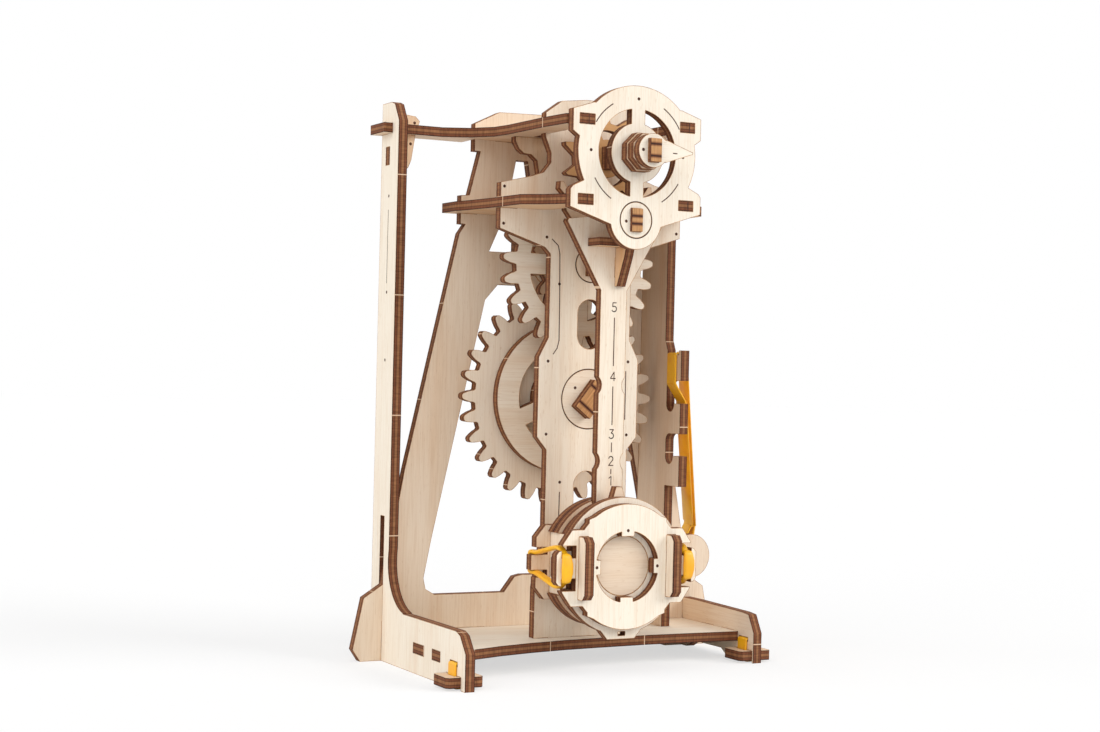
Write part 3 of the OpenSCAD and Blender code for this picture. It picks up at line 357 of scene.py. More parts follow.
def burnt_edge(tree, place, axis, front_mm, tick_mm, shift_mm):
    """Plywood cut by a laser: burnt brown, with the glue lines of three crossed plies as dark stripes, ridges
    that the beam leaves through the sheet, and on large pieces a pale tick about every 37 mm where they were
    snapped off their sheet, moved along the edge by a shift. The ridges are drawn 0.5 mm apart, coarser than
    the real ones, so that they show. Gives the colour socket."""
    wood = settings("pendulum_wood")
    spot = add(tree, "ShaderNodeSeparateXYZ", {"Vector": place})
    depth = add(tree, "ShaderNodeMath", {0: spot.outputs[axis]}, {1: front_mm / 1000}, operation="SUBTRACT")
    share = add(tree, "ShaderNodeMath", {0: depth.outputs[0]}, {1: PLY / 1000}, operation="DIVIDE")
    part = add(tree, "ShaderNodeMath", {0: share.outputs[0]}, operation="FRACT")
    burnt, char, glue = linear(wood.burnt), linear(wood.char), mixed(wood.char, wood.burnt, 0.35)
    warm = mixed(wood.burnt, wood.toned_and_shaded, 0.24)
    plies = add(tree, "ShaderNodeValToRGB", {"Fac": part.outputs[0]}, stops=[
        (0.00, char), (0.05, char), (0.12, burnt), (0.26, burnt), (0.33, glue), (0.42, warm), (0.62, warm),
        (0.69, glue), (0.76, burnt), (0.90, burnt), (0.97, char)])
    through = add(tree, "ShaderNodeMapping", {"Vector": place}, {"Scale": grain_scale(axis, 0.5, 4)})
    ridge = add(tree, "ShaderNodeTexNoise", {"Vector": through.outputs[0]},
                {"Scale": 1, "Detail": 2, "Roughness": 0.6})
    shade = add(tree, "ShaderNodeValToRGB", {"Fac": ridge.outputs["Fac"]}, stops=[
        (0.30, (0.60, 0.54, 0.50, 1)), (0.64, (1.16, 1.12, 1.08, 1))])
    edge = add(tree, "ShaderNodeMix", {6: plies.outputs["Color"], 7: shade.outputs["Color"]}, {0: 0.85},
               data_type="RGBA", blend_type="MULTIPLY")
    first, second = [k for k in "XYZ" if k != axis]
    along = add(tree, "ShaderNodeMath", {0: spot.outputs[first], 1: spot.outputs[second]}, operation="ADD")
    moved = add(tree, "ShaderNodeMath", {0: along.outputs[0]}, {1: shift_mm / 1000}, operation="SUBTRACT")
    step = add(tree, "ShaderNodeMath", {0: moved.outputs[0]}, {1: TICK_STEP / 1000}, operation="DIVIDE")
    turn = add(tree, "ShaderNodeMath", {0: step.outputs[0]}, operation="FRACT")
    tick = add(tree, "ShaderNodeMath", {0: turn.outputs[0]}, {1: tick_mm / TICK_STEP}, operation="LESS_THAN")
    snapped = add(tree, "ShaderNodeMix", {0: tick.outputs[0], 6: edge.outputs[2]},
                  {7: mixed(wood.face, wood.toned_and_shaded, 0.6)}, data_type="RGBA")
    return snapped.outputs[2]


def strip_ends(tree, place, node):
    """The end of an axle that is laid up from three strips: the two joints between them are dark, partly
    charred and partly painted shade where the slightly round strips turn away, and each strip's middle is
    paler, a painted highlight on its round face, by the distance from the nearer joint in mm."""
    wood = settings("pendulum_wood")
    angle, joint = AXLES[node]
    low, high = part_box(node)
    centre = tuple((np.array(low) + np.array(high)) / 2)
    turned = add(tree, "ShaderNodeMapping", {"Vector": place},
                 {"Location": centre, "Rotation": (0, math.radians(-angle), 0)}, vector_type="TEXTURE")
    spot = add(tree, "ShaderNodeSeparateXYZ", {"Vector": turned.outputs[0]})
    away = add(tree, "ShaderNodeMath", {0: spot.outputs["Z"]}, operation="ABSOLUTE")
    off = add(tree, "ShaderNodeMath", {0: away.outputs[0]}, {1: joint / 1000}, operation="SUBTRACT")
    gap = add(tree, "ShaderNodeMath", {0: off.outputs[0]}, operation="ABSOLUTE")
    scaled = add(tree, "ShaderNodeMath", {0: gap.outputs[0]}, {1: 1000}, operation="MULTIPLY")
    # Painted shade at the joints and a painted highlight in each strip's middle, by the distance from the
    # nearer joint
    ends = add(tree, "ShaderNodeValToRGB", {"Fac": scaled.outputs[0]}, stops=[
        (0.00, linear(wood.char)), (0.12, linear(wood.char)), (0.30, linear(wood.burnt)),
        (0.80, mixed(wood.burnt, wood.toned_and_shaded, 0.75))])
    across = add(tree, "ShaderNodeMapping", {"Vector": turned.outputs[0]},
                 {"Scale": grain_scale("Z", 0.5, 6)})
    ridge = add(tree, "ShaderNodeTexNoise", {"Vector": across.outputs[0]},
                {"Scale": 1, "Detail": 2, "Roughness": 0.6})
    shade = add(tree, "ShaderNodeValToRGB", {"Fac": ridge.outputs["Fac"]}, stops=[
        (0.30, (0.66, 0.60, 0.56, 1)), (0.66, (1.10, 1.06, 1.02, 1))])
    rough = add(tree, "ShaderNodeMix", {6: ends.outputs["Color"], 7: shade.outputs["Color"]}, {0: 0.85},
                data_type="RGBA", blend_type="MULTIPLY")
    return rough.outputs[2]


def laser_cut_birch(node, axis, grain=None, toned_and_shaded=None):
    """Birch plywood cut by laser: smooth matt veneer on its faces, rough burnt wood on its cut edges. An axle
    shows no veneer, so it needs no grain and no share of the toned colour and its painted shade: its ends are
    the cut ends of three strips."""
    mat, tree, shader = new_material("laser_cut_birch_" + node)
    coords = add(tree, "ShaderNodeTexCoord")
    place = coords.outputs["Object"]
    # 1 on the veneer, where the surface faces along the sheet's own axis, and 0 on the cut edge
    turned = add(tree, "ShaderNodeSeparateXYZ", {"Vector": coords.outputs["Normal"]})
    size = add(tree, "ShaderNodeMath", {0: turned.outputs[axis]}, operation="ABSOLUTE")
    on_face = add(tree, "ShaderNodeMath", {0: size.outputs[0]}, {1: 0.7}, operation="GREATER_THAN")
    low, high = np.array(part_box(node)) * 1000
    tick = TICK_W if max(high - low) > TICKED_SIZE else 0.0
    edge = burnt_edge(tree, place, axis, low[AXIS[axis]], tick, TICK_SHIFTS.get(node, 0.0))
    if node in AXLES:
        colour = strip_ends(tree, place, node)
        roughness = 0.8
    else:
        colour, grain_height = birch_veneer(tree, place, grain, toned_and_shaded)
        bump = add(tree, "ShaderNodeBump", {"Height": grain_height}, {"Strength": 0.12, "Distance": 0.00008})
        tree.links.new(bump.outputs["Normal"], shader.inputs["Normal"])
        roughness = 0.6
    both = add(tree, "ShaderNodeMix", {0: on_face.outputs[0], 6: edge, 7: colour}, data_type="RGBA")
    rough = add(tree, "ShaderNodeMix", {0: on_face.outputs[0]}, {2: 0.85, 3: roughness}, data_type="FLOAT")
    tree.links.new(both.outputs[2], shader.inputs["Base Color"])
    tree.links.new(rough.outputs[0], shader.inputs["Roughness"])
    shader.inputs["IOR"].default_value = 1.5
    shader.inputs["Specular IOR Level"].default_value = 0.35
    return mat


def charred_line():
    """Wood charred by the beam in an engraved mark: matt and very dark brown, with grit 0.6 mm across."""
    wood = settings("pendulum_wood")
    mat, tree, shader = new_material("charred_birch_line")
    place = add(tree, "ShaderNodeTexCoord")
    grit = add(tree, "ShaderNodeTexNoise", {"Vector": place.outputs["Object"]}, {"Scale": 1600, "Detail": 2})
    tone = add(tree, "ShaderNodeValToRGB", {"Fac": grit.outputs["Fac"]}, stops=[
        (0.30, linear(wood.char)), (0.75, mixed(wood.char, wood.burnt, 0.5))])
    tree.links.new(tone.outputs["Color"], shader.inputs["Base Color"])
    shader.inputs["Roughness"].default_value = 0.85
    return mat


def scorched_veneer():
    """Veneer browned by the heat beside a cut: a matt tan line, darker in places 2 mm long."""
    wood = settings("pendulum_wood")
    mat, tree, shader = new_material("scorched_birch_rim")
    place = add(tree, "ShaderNodeTexCoord")
    smoke = add(tree, "ShaderNodeTexNoise", {"Vector": place.outputs["Object"]}, {"Scale": 500, "Detail": 2})
    tone = add(tree, "ShaderNodeValToRGB", {"Fac": smoke.outputs["Fac"]}, stops=[
        (0.35, mixed(wood.burnt, wood.toned_and_shaded, 0.25)), (0.60, mixed(wood.burnt, wood.toned_and_shaded, 0.9))])
    tree.links.new(tone.outputs["Color"], shader.inputs["Base Color"])
    shader.inputs["Roughness"].default_value = 0.8
    return mat


def yellow_rubber():
    """Natural rubber dyed yellow, cut from a thin sheet: smooth with a soft sheen, cloudy in patches 4 mm
    wide, and with knife lines along it, drawn 0.4 mm apart."""
    rubber = settings("pendulum_rubber")
    mat, tree, shader = new_material("yellow_natural_rubber")
    place = add(tree, "ShaderNodeTexCoord")
    cloud = add(tree, "ShaderNodeTexNoise", {"Vector": place.outputs["Object"]}, {"Scale": 250, "Detail": 3})
    tone = add(tree, "ShaderNodeValToRGB", {"Fac": cloud.outputs["Fac"]}, stops=[
        (0.32, mixed(rubber.colour, rubber.deep, 0.55)), (0.62, linear(rubber.colour))])
    tree.links.new(tone.outputs["Color"], shader.inputs["Base Color"])
    lines = add(tree, "ShaderNodeMapping", {"Vector": place.outputs["Object"]},
                {"Scale": grain_scale("Z", 0.4, 20)})
    cut = add(tree, "ShaderNodeTexNoise", {"Vector": lines.outputs[0]}, {"Scale": 1, "Detail": 2})
    bump = add(tree, "ShaderNodeBump", {"Height": cut.outputs["Fac"]}, {"Strength": 0.3, "Distance": 0.00008})
    tree.links.new(bump.outputs["Normal"], shader.inputs["Normal"])
    shader.inputs["Roughness"].default_value = 0.42
    shader.inputs["IOR"].default_value = 1.52
    return mat


def paper_sweep():
    """White background paper: matt. The camera sees it lifted towards white and its shadows softened, while
    the light that it throws back on the object is that of plain paper."""
    mat, tree, _ = new_material("white_background_paper")
    tree.nodes.clear()
    stage = settings("pendulum_stage")
    # The light on open floor is the sky's and each lamp's share by the sine of its height
    lamps = sum(share * math.sin(math.radians(rise)) for _, rise, _, share in LAMPS.values())
    level = stage.sky + stage.lamps * lamps
    plain = add(tree, "ShaderNodeBsdfDiffuse", values={"Color": linear(stage.floor)})
    shadow = add(tree, "ShaderNodeBsdfDiffuse", values={"Color": (SHADE_SHARE, SHADE_SHARE, SHADE_SHARE, 1)})
    lift = add(tree, "ShaderNodeEmission",
               values={"Color": (1, 1, 1, 1), "Strength": 1 - SHADE_SHARE * level})
    seen = add(tree, "ShaderNodeAddShader", {0: shadow.outputs[0], 1: lift.outputs[0]})
    ray = add(tree, "ShaderNodeLightPath")
    either = add(tree, "ShaderNodeMixShader",
                 {0: ray.outputs["Is Camera Ray"], 1: plain.outputs[0], 2: seen.outputs[0]})
    add(tree, "ShaderNodeOutputMaterial", {"Surface": either.outputs[0]})
    return mat


# Surfaces


def cut_outlines(mesh, axis, width):
    """A strip along every cut of a sheet: each edge shared by a veneer triangle and a cut face is moved
    inwards on the veneer by the strip's width, which gives one quad per edge, a hair in front of it."""
    verts = np.empty(len(mesh.vertices) * 3)
    mesh.vertices.foreach_get("co", verts)
    mesh.calc_loop_triangles()
    tris = np.empty(len(mesh.loop_triangles) * 3, int)
    mesh.loop_triangles.foreach_get("vertices", tris)
    p = verts.reshape(-1, 3)[tris.reshape(-1, 3)]
    normal = np.cross(p[:, 1] - p[:, 0], p[:, 2] - p[:, 0])
    length = np.linalg.norm(normal, axis=1)
    # Triangles without area are left out, and corners within 0.1 micrometres of each other count as one
    sound, grid = length > 1e-14, 1e7
    p, normal = p[sound], normal[sound] / length[sound, None]
    keys, index = np.unique(np.round(p.reshape(-1, 3) * grid).astype(np.int64), axis=0, return_inverse=True)
    index = index.reshape(-1, 3)
    veneer = np.abs(normal[:, AXIS[axis]]) > 0.9
    start = np.concatenate([index[:, [0, 1]], index[:, [1, 2]], index[:, [2, 0]]])
    owner = np.tile(np.arange(len(index)), 3)
    code = np.sort(start, axis=1)
    code = code[:, 0] * (len(keys) + 1) + code[:, 1]
    order = np.argsort(code, kind="stable")
    same = code[order][1:] == code[order][:-1]
    first, second = order[:-1][same], order[1:][same]
    keep_first = veneer[owner[first]] & ~veneer[owner[second]]
    keep_second = veneer[owner[second]] & ~veneer[owner[first]]
    chosen = np.concatenate([first[keep_first], second[keep_second]])
    corners = keys / grid
    a, b = corners[start[chosen, 0]], corners[start[chosen, 1]]
    n = normal[owner[chosen]]
    inwards = np.cross(n, b - a)
    inwards /= np.maximum(np.linalg.norm(inwards, axis=1), 1e-12)[:, None]
    lift = n * RIM_LIFT / 1000
    quads = np.stack([a + lift, b + lift, b + inwards * width + lift, a + inwards * width + lift], axis=1)
    return quads.reshape(-1, 3)


def stroke(points, width):
    """A flat line of even width: each stretch of a 2D path becomes a quad that reaches half the width to
    either side and a fifth of the width past each end."""
    q = np.asarray(points, float)
    a, b = q[:-1], q[1:]
    along = b - a
    along /= np.maximum(np.linalg.norm(along, axis=1), 1e-9)[:, None]
    side = np.stack([-along[:, 1], along[:, 0]], axis=1) * width / 2
    reach = along * width * 0.2
    return np.stack([a - side - reach, b - side + reach, b + side + reach, a + side - reach], axis=1)


def dot(centre, radius):
    """A round dot: three quads between opposite pairs of eight points on its rim."""
    t = np.arange(8) * math.tau / 8 + math.tau / 16
    rim = np.asarray(centre, float) + radius * np.stack([np.cos(t), np.sin(t)], axis=1)
    return rim[np.array([[0, 1, 2, 3], [0, 3, 4, 7], [4, 5, 6, 7]])]


def arc_points(u, v, radius, start, end):
    """Points of an arc in 2D, from one angle to another in degrees, every 3 degrees or so."""
    t = np.radians(np.linspace(start, end, max(3, int(abs(end - start) / 3))))
    return np.stack([u + radius * np.cos(t), v + radius * np.sin(t)], axis=1)


def on_sheet(quads, axis, place):
    """Puts 2D quads in millimetres on a face square to an axis, on its low side, a hair in front of it."""
    flat = quads.reshape(-1, 2)
    others = [k for k in range(3) if k != AXIS[axis]]
    out = np.zeros((len(flat), 3))
    out[:, others[0]], out[:, others[1]] = flat[:, 0], flat[:, 1]
    out[:, AXIS[axis]] = place - MARK_LIFT
    return points_at(out)


def rounded_loop(points, radius, steps):
    """A closed path with each corner replaced by a quadratic curve that starts and ends a radius from it, or
    0.45 of the side's length where that is less."""
    p = np.asarray(points, float)
    before, after = np.roll(p, 1, axis=0) - p, np.roll(p, -1, axis=0) - p
    lb, la = np.linalg.norm(before, axis=1)[:, None], np.linalg.norm(after, axis=1)[:, None]
    a = p + before / lb * np.minimum(radius, lb * 0.45)
    b = p + after / la * np.minimum(radius, la * 0.45)
    t = np.linspace(0, 1, steps)[None, :, None]
    curve = (1 - t) ** 2 * a[:, None] + 2 * t * (1 - t) * p[:, None] + t**2 * b[:, None]
    return curve.reshape(-1, 3)


def flat_band(path, wide, width, thick, roundness):
    """A rounded oblong section carried round a closed path: its width lies along one fixed direction and its
    thickness along the path's own normal. The section is a superellipse with exponent 2 / roundness, and its
    width is one number or one for each point of the path."""
    path = np.asarray(path, float)
    ahead = np.roll(path, -1, axis=0) - np.roll(path, 1, axis=0)
    ahead /= np.linalg.norm(ahead, axis=1)[:, None]
    wide = np.asarray(wide, float)
    across = wide[None, :] - (ahead @ wide)[:, None] * ahead
    across /= np.linalg.norm(across, axis=1)[:, None]
    out = np.cross(ahead, across)
    t = np.arange(16) * math.tau / 16
    c, s = np.cos(t), np.sin(t)
    u = np.sign(c) * np.abs(c) ** roundness * np.reshape(width, (-1, 1)) / 2
    v = np.sign(s) * np.abs(s) ** roundness * thick / 2
    rings = path[:, None] + across[:, None] * u[..., None] + out[:, None] * v[None, :, None]
    n, m = len(path), len(t)
    i, j = np.meshgrid(np.arange(n), np.arange(m), indexing="ij")
    k, l = (i + 1) % n, (j + 1) % m
    faces = np.stack([i * m + j, k * m + j, k * m + l, i * m + l], axis=-1).reshape(-1, 4)
    return rings.reshape(-1, 3), faces


def outward(verts, faces):
    """Faces that point out of a closed surface: they are turned over where the volume that they enclose, the
    sum of a . (b x c) over their triangles, comes out below nothing."""
    a, b, c, d = (verts[faces[:, k]] for k in range(4))
    volume = np.einsum("ij,ij->", a, np.cross(b, c)) + np.einsum("ij,ij->", a, np.cross(c, d))
    return faces if volume > 0 else faces[:, ::-1]


def band_piece(name, loops, wide, width, thick, roundness, body, node):
    """Rubber bands from closed paths in millimetres, as one piece that stands for a CAD node."""
    verts, faces, count = [], [], 0
    for loop in loops:
        spread = width(loop) if callable(width) else width
        v, f = flat_band(points_at(loop), wide, spread, thick, roundness)
        verts.append(v)
        faces.append(outward(v, f) + count)
        count += len(v)
    material = made_once("yellow_natural_rubber", yellow_rubber)
    obj = new_piece(name, np.concatenate(verts), np.concatenate(faces), material, body, True)
    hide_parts(node)
    return obj


def turned_to(forward, place):
    """The matrix of an object that looks back along its own Z axis, upright, from a place."""
    z = -np.asarray(forward, float)
    x = np.cross([0, 0, 1], z)
    x /= np.linalg.norm(x)
    y = np.cross(z, x)
    return Matrix([[*row, place[k]] for k, row in enumerate(np.stack([x, y, z], 1))] + [[0, 0, 0, 1]])


# Operators


class PENDULUM_OT_stage(bpy.types.Operator):
    """Pale floor, soft lamps and the camera at the photograph's angle"""

    bl_idname = "pendulum.stage"
    bl_label = "Stage"

    def execute(self, context):
        stage = settings("pendulum_stage")
        scene = context.scene
        scene.view_settings.view_transform = "Standard"
        self.lay_floor(scene)
        self.light_sky(scene, stage)
        for name, (turn, rise, size, share) in LAMPS.items():
            lamp = bpy.data.lights.new(name, "SUN")
            lamp.angle = math.radians(size)
            # A sun of strength pi lights a white face that is square to it at full level
            lamp.energy = math.pi * share * stage.lamps
            a, e = math.radians(turn), math.radians(rise)
            away = np.array([math.sin(a) * math.cos(e), -math.cos(a) * math.cos(e), math.sin(e)])
            obj = bpy.data.objects.new(name, lamp)
            obj.matrix_world = turned_to(-away, away)
            scene.collection.objects.link(obj)
        self.set_camera(scene, stage)
        return {"FINISHED"}

    def lay_floor(self, scene):
        """A square of paper that reaches 4 m to each side, past the edges of the picture."""
        mesh = bpy.data.meshes.new("floor")
        far = 4.0
        mesh.from_pydata([(-far, -far, 0), (far, -far, 0), (far, far, 0), (-far, far, 0)], [], [(0, 1, 2, 3)])
        mesh.materials.append(paper_sweep())
        ground = bpy.data.objects.new("floor", mesh)
        scene.collection.objects.link(ground)

    def light_sky(self, scene, stage):
        """Even light from all around, which the camera, mirrors and glass see as plain white."""
        scene.world = scene.world or bpy.data.worlds.new("studio")
        scene.world.use_nodes = True
        tree = scene.world.node_tree
        tree.nodes.clear()
        ray = add(tree, "ShaderNodeLightPath")
        glossy = add(tree, "ShaderNodeMath",
                     {0: ray.outputs["Is Camera Ray"], 1: ray.outputs["Is Glossy Ray"]}, operation="MAXIMUM")
        seen = add(tree, "ShaderNodeMath", {0: glossy.outputs[0], 1: ray.outputs["Is Transmission Ray"]},
                   operation="MAXIMUM")
        strength = add(tree, "ShaderNodeMix", {0: seen.outputs[0]}, {2: stage.sky, 3: 1.0}, data_type="FLOAT")
        light = add(tree, "ShaderNodeBackground", {"Strength": strength.outputs[0]}, {"Color": (1, 1, 1, 1)})
        add(tree, "ShaderNodeOutputWorld", {"Surface": light.outputs[0]})

    def set_camera(self, scene, stage):
        """The camera that was solved from the photograph."""
        turn, dip, lean = (math.radians(a) for a in (CAMERA_TURN, CAMERA_DIP, CAMERA_LEAN))
        ahead = np.array([math.sin(turn) * math.cos(dip), math.cos(turn) * math.cos(dip), math.sin(dip)])
        camera = bpy.data.cameras.new("camera")
        camera.sensor_fit = "HORIZONTAL"
        camera.sensor_width = 36
        camera.lens = stage.lens
        camera.clip_start, camera.clip_end = 0.01, 50
        obj = bpy.data.objects.new("camera", camera)
        obj.matrix_world = turned_to(ahead, at(*CAMERA_PLACE)) @ Matrix.Rotation(lean, 4, "Z")
        scene.collection.objects.link(obj)
        scene.camera = obj


def dress(node, material):
    """Puts one material on all the slots of a CAD node."""
    obj = frame["nodes"][node]
    for slot in obj.material_slots:
        slot.material = material
    if not obj.material_slots:
        obj.data.materials.append(material)


class PENDULUM_OT_plywood(bpy.types.Operator):
    """Birch faces and burnt edges on every sheet and axle"""

    bl_idname = "pendulum.plywood"
    bl_label = "Plywood sheets"

    def execute(self, context):
        for node, (axis, grain, toned_and_shaded) in SHEETS.items():
            dress(node, laser_cut_birch(node, axis, grain, toned_and_shaded))
        for node in AXLES:
            dress(node, laser_cut_birch(node, "Y"))
        return {"FINISHED"}


class PENDULUM_OT_ear_tabs(bpy.types.Operator):
    """Tabs in the ears of the bob's front plate, with a neck that the bands pass over and a wider head"""

    bl_idname = "pendulum.ear_tabs"
    bl_label = "Ear tabs of the bob"

    def execute(self, context):
        front, back = face("bob_front_plate", 1), face("bob_front_plate", 1, 1)
        # Where a tab leaves the ear, where its head begins, and where it ends
        root, neck, out = face("bob_bands", 0, 1) - 3.15, BAND_X + 1.4, face("bob_front_disc", 0, 1) + 1.3
        # Half heights of the head at its shoulders, before its bevel and at its end
        shoulder, bevel, end = 5.2, 5.0, 4.0
        half = [(root, TAB_NECK), (neck, TAB_NECK), (neck, shoulder), (out - 0.8, bevel), (out, end)]
        right = np.array([(x, -z) for x, z in half] + half[::-1])
        n = len(right)
        verts, faces, count = [], [], 0
        for outline in (right, right[::-1] * np.array([-1, 1])):
            for y in (front, back):
                level = np.full(n, y)
                verts.append(points_at(np.stack([outline[:, 0], level, outline[:, 1] + BOB_Z], axis=1)))
            i = np.arange(n)
            faces += [(i + count).tolist(), (i[::-1] + n + count).tolist()]
            faces += (np.stack([i, i + n, (i + 1) % n + n, (i + 1) % n], axis=1) + count).tolist()
            count += 2 * n
        material = frame["nodes"]["bob_front_plate"].material_slots[0].material
        new_piece("bob_ear_tabs", np.concatenate(verts), faces, material, "bob")
        return {"FINISHED"}


class PENDULUM_OT_scorch(bpy.types.Operator):
    """The thin tan line that the laser leaves on the veneer along each cut"""

    bl_idname = "pendulum.scorch"
    bl_label = "Scorched rims"

    def execute(self, context):
        material = scorched_veneer()
        width = settings("pendulum_wood").scorch_w
        for body, nodes in frame["record"]["behaviour"]["bodies"].items():
            sheets = [(frame["nodes"][n].data, SHEETS[n][0]) for n in nodes if n in SHEETS]
            if body == "bob":
                sheets.append((bpy.data.objects["bob_ear_tabs"].data, "Y"))
            verts = np.concatenate([cut_outlines(mesh, axis, width) for mesh, axis in sheets])
            wood_quads("scorched_rims_" + body, verts, material, body)
        return {"FINISHED"}


class PENDULUM_OT_marks(bpy.types.Operator):
    """Engraved dots, lines and arcs"""

    bl_idname = "pendulum.marks"
    bl_label = "Engraved marks"

    def execute(self, context):
        wood = settings("pendulum_wood")
        material = made_once("charred_birch_line", charred_line)
        for body, sheets in ENGRAVED.items():
            parts = []
            for axis, node, (dots, lines) in sheets:
                quads = [dot(c, wood.dot_r * 1000) for c in dots]
                for line in lines:
                    points = arc_points(*line[1:]) if line[0] == "arc" else line
                    quads.append(stroke(points, wood.mark_w * 1000))
                parts.append(on_sheet(np.concatenate(quads), axis, face(node, AXIS[axis])))
            wood_quads("engraved_marks_" + body, np.concatenate(parts), material, body)
        return {"FINISHED"}


class PENDULUM_OT_numbers(bpy.types.Operator):
    """The numbers on the rod, from one at the bob to five at the top"""

    bl_idname = "pendulum.numbers"
    bl_label = "Rod numbers"

    def execute(self, context):
        wood = settings("pendulum_wood")
        material = made_once("charred_birch_line", charred_line)
        size = wood.number_h * 1000
        for text, rise in ROD_NUMBERS.items():
            quads = []
            for line in DIGITS[text]:
                path = np.concatenate([arc_points(*p[1:]) if p[0] == "arc" else np.array([p]) for p in line])
                path = (path - np.array(DIGIT_MIDDLE)) * size + np.array([NUMBER_X, BOB_Z + rise])
                quads.append(stroke(path, wood.mark_w * 1000 * DIGIT_LINE))
            verts = on_sheet(np.concatenate(quads), "Y", face("pendulum_rod", 1))
            wood_quads("number_" + text, verts, material, "pendulum")
        return {"FINISHED"}


class PENDULUM_OT_foot_bands(bpy.types.Operator):
    """Rubber bands that hold the pads to the feet"""

    bl_idname = "pendulum.foot_bands"
    bl_label = "Foot bands"

    def execute(self, context):
        low, high = box_mm("foot_bands")
        # Thickness and width of a band, its gap to the foot, and how far its top lies under the CAD band's
        thick, width, gap, sunk = 0.66, 4.8, 0.06, 0.4
        half, bottom, top = PLY / 2 + gap + thick / 2, low[2] + thick / 2, high[2] - sunk
        loops = []
        for foot, pad in (("left_side_plate", "left_pad"), ("right_foot_plate", "right_pad")):
            middle = (face(foot, 0) + face(foot, 0, 1)) / 2
            y = (face(pad, 1) + face(pad, 1, 1)) / 2
            corners = [(middle - half, y, bottom), (middle + half, y, bottom), (middle + half, y, top),
                       (middle - half, y, top)]
            loops.append(rounded_loop(corners, 0.5, 5))
        band_piece("foot_bands_soft", loops, (0, 1, 0), width / 1000, thick / 1000, 0.3, "frame",
                   "foot_bands")
        return {"FINISHED"}


class PENDULUM_OT_bob_bands(bpy.types.Operator):
    """Thick rubber bands that tie the layers of the bob at its two sides"""

    bl_idname = "pendulum.bob_bands"
    bl_label = "Bob bands"

    def execute(self, context):
        low, high = box_mm("bob_bands")
        # Thickness of the band, its gap to the tab, its widths in the notches and in the middle of its front,
        # and how far that middle stands out
        thick, gap, notch_w, front_w, bulge = 1.3, 0.05, 2.5, 3.7, 0.35
        # Half heights of the band where it lies on the tabs, passes the front disc and passes the rear plate
        on_tab, on_disc, on_rear = TAB_NECK + gap + thick / 2, (high[2] - low[2] - thick) / 2, 3.0
        plate, disc = face("bob_front_plate", 1), face("bob_front_disc", 1)
        core, rear, back = face("bob_core", 1), face("bob_rear_plate", 1), high[1] - thick / 2
        front = plate - thick / 2 - gap
        loops = []
        for side in (-1, 1):
            half = [(front, on_tab), (plate + 1.2, on_tab + 0.1), (disc + 0.4, on_disc), (core, on_disc),
                    (rear, on_rear), (back, on_rear)]
            corners = [(side * BAND_X, y, z) for y, z in half]
            corners += [(side * BAND_X, y, -z) for y, z in half[::-1]]
            crown = [(side * BAND_X, front - bulge, z) for z in (-on_tab * 0.4, 0.0, on_tab * 0.4)]
            loop = np.concatenate([rounded_loop(corners, 1.0, 6), crown])
            loops.append(loop + np.array([0.0, 0.0, BOB_Z]))

        def swelling(loop):
            """The band's width: even in the notches, and wider towards the middle of its front, by the cosine
            of the height, with a quarter turn from the middle to the band's upper or lower edge."""
            share = np.clip(np.abs(loop[:, 2] - BOB_Z) / (on_tab + thick / 2), 0, 1)
            swollen = notch_w + (front_w - notch_w) * np.cos(share * math.pi / 2)
            return np.where(loop[:, 1] < plate, swollen, notch_w) / 1000

        band_piece("bob_bands_soft", loops, (1, 0, 0), swelling, thick / 1000, 0.6, "bob", "bob_bands")
        return {"FINISHED"}


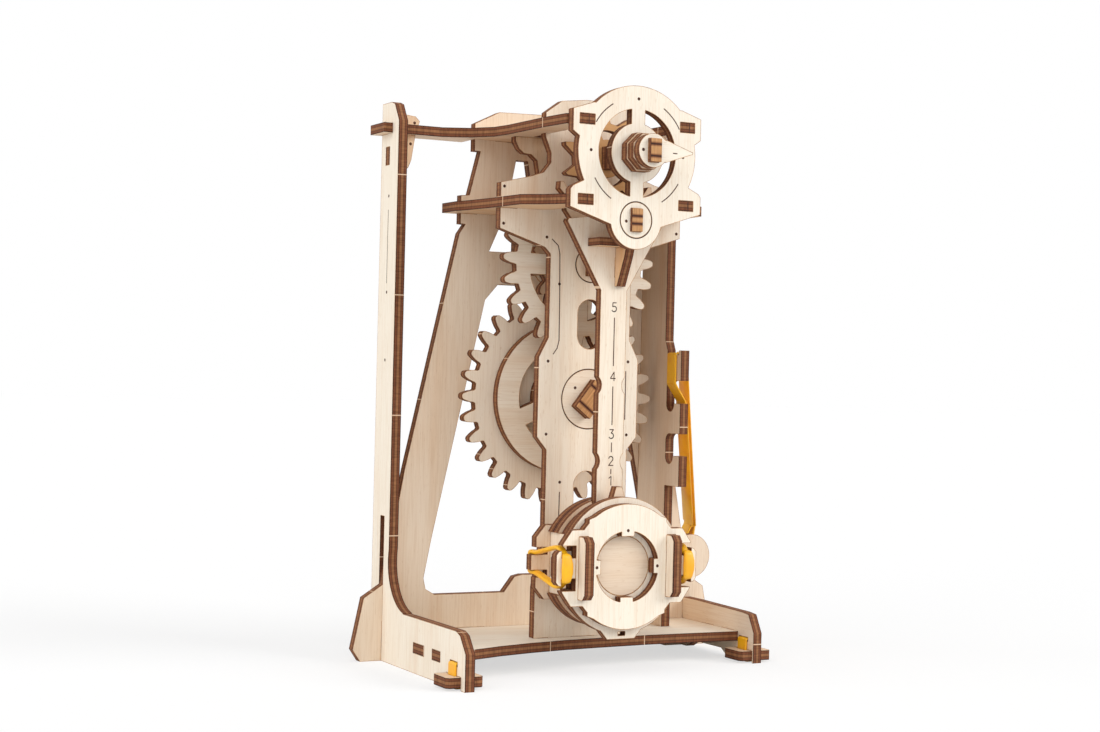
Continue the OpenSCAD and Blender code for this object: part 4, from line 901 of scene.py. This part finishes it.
class PENDULUM_OT_drive_band(bpy.types.Operator):
    """The long rubber band from the top hook to the roller behind the frame"""

    bl_idname = "pendulum.drive_band"
    bl_label = "Drive band"

    def execute(self, context):
        # Thickness of the band, how far its middle stays off the hook plate, and its gap to the roller
        thick, off, gap = 0.56, 0.45, 0.2
        # Heights above the main axle: the saddle and the underside of the top hook, and the next hook
        saddle, under, next_hook = MAIN_Z + 14.5, MAIN_Z + 6.2, MAIN_Z - 1.1
        left, right = face("hook_plate", 0), face("hook_plate", 0, 1)
        # The middle of the band lies this far inside both ends of the CAD band, half of that band's width
        inset = 3.1
        hook_y, roller_y = face("drive_band", 1) + inset, face("drive_band", 1, 1) - inset
        low, high = box_mm("band_roller")
        middle_x, middle_z, radius = (low[0] + high[0]) / 2, (low[2] + high[2]) / 2, (high[0] - low[0]) / 2
        # The two runs part from the roller at this height, 3.9 and 2.8 mm to the right of its middle
        part_z = middle_z + 10.2
        turn = np.radians(np.linspace(15, -205, 12))
        reach = radius + thick / 2 + gap
        round_roller = np.stack([middle_x + reach * np.cos(turn), np.full(len(turn), roller_y),
                                 middle_z + reach * np.sin(turn)], axis=1)
        corners = [(left - off, hook_y, saddle + off), (right + off, hook_y, saddle + off),
                   (middle_x + 3.9, roller_y, part_z), *round_roller, (middle_x + 2.8, roller_y, part_z),
                   (right + 0.5, hook_y, next_hook + 0.5), (left - off, hook_y, under - 2 * off)]
        loop = rounded_loop(corners, 0.5, 5)
        width = settings("pendulum_rubber").drive_w
        band_piece("drive_band_soft", [loop], (0, 1, 0), width, thick / 1000, 0.35, "frame", "drive_band")
        return {"FINISHED"}


class PENDULUM_PT_panel(bpy.types.Panel):
    bl_label = "Plywood pendulum"
    bl_idname = "PENDULUM_PT_panel"
    bl_space_type = "VIEW_3D"
    bl_region_type = "UI"
    bl_category = "Pendulum"

    def draw(self, context):
        for group in GROUPS:
            holder = getattr(context.scene, group)
            for key in holder.bl_rna.properties.keys():
                if key not in ("rna_type", "name"):
                    self.layout.prop(holder, key)
        for operator in OPERATORS:
            self.layout.operator(operator.bl_idname)


GROUPS = {"pendulum_wood": PendulumWood, "pendulum_rubber": PendulumRubber, "pendulum_stage": PendulumStage}
OPERATORS = (PENDULUM_OT_stage, PENDULUM_OT_plywood, PENDULUM_OT_ear_tabs, PENDULUM_OT_scorch,
             PENDULUM_OT_marks, PENDULUM_OT_numbers, PENDULUM_OT_foot_bands, PENDULUM_OT_bob_bands,
             PENDULUM_OT_drive_band)


def register():
    """Adds the settings, the operators and the panel to Blender."""
    for name, group in GROUPS.items():
        bpy.utils.register_class(group)
        setattr(bpy.types.Scene, name, bpy.props.PointerProperty(type=group))
    for operator in OPERATORS:
        bpy.utils.register_class(operator)
    bpy.utils.register_class(PENDULUM_PT_panel)


def unregister():
    """Takes them out of Blender again."""
    bpy.utils.unregister_class(PENDULUM_PT_panel)
    for operator in reversed(OPERATORS):
        bpy.utils.unregister_class(operator)
    for name, group in GROUPS.items():
        delattr(bpy.types.Scene, name)
        bpy.utils.unregister_class(group)


def main():
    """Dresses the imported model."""
    register()
    bpy.ops.pendulum.stage()
    bpy.ops.pendulum.plywood()
    bpy.ops.pendulum.ear_tabs()
    bpy.ops.pendulum.scorch()
    bpy.ops.pendulum.marks()
    bpy.ops.pendulum.numbers()
    bpy.ops.pendulum.foot_bands()
    bpy.ops.pendulum.bob_bands()
    bpy.ops.pendulum.drive_band()


if __name__ == "__main__":
    main()
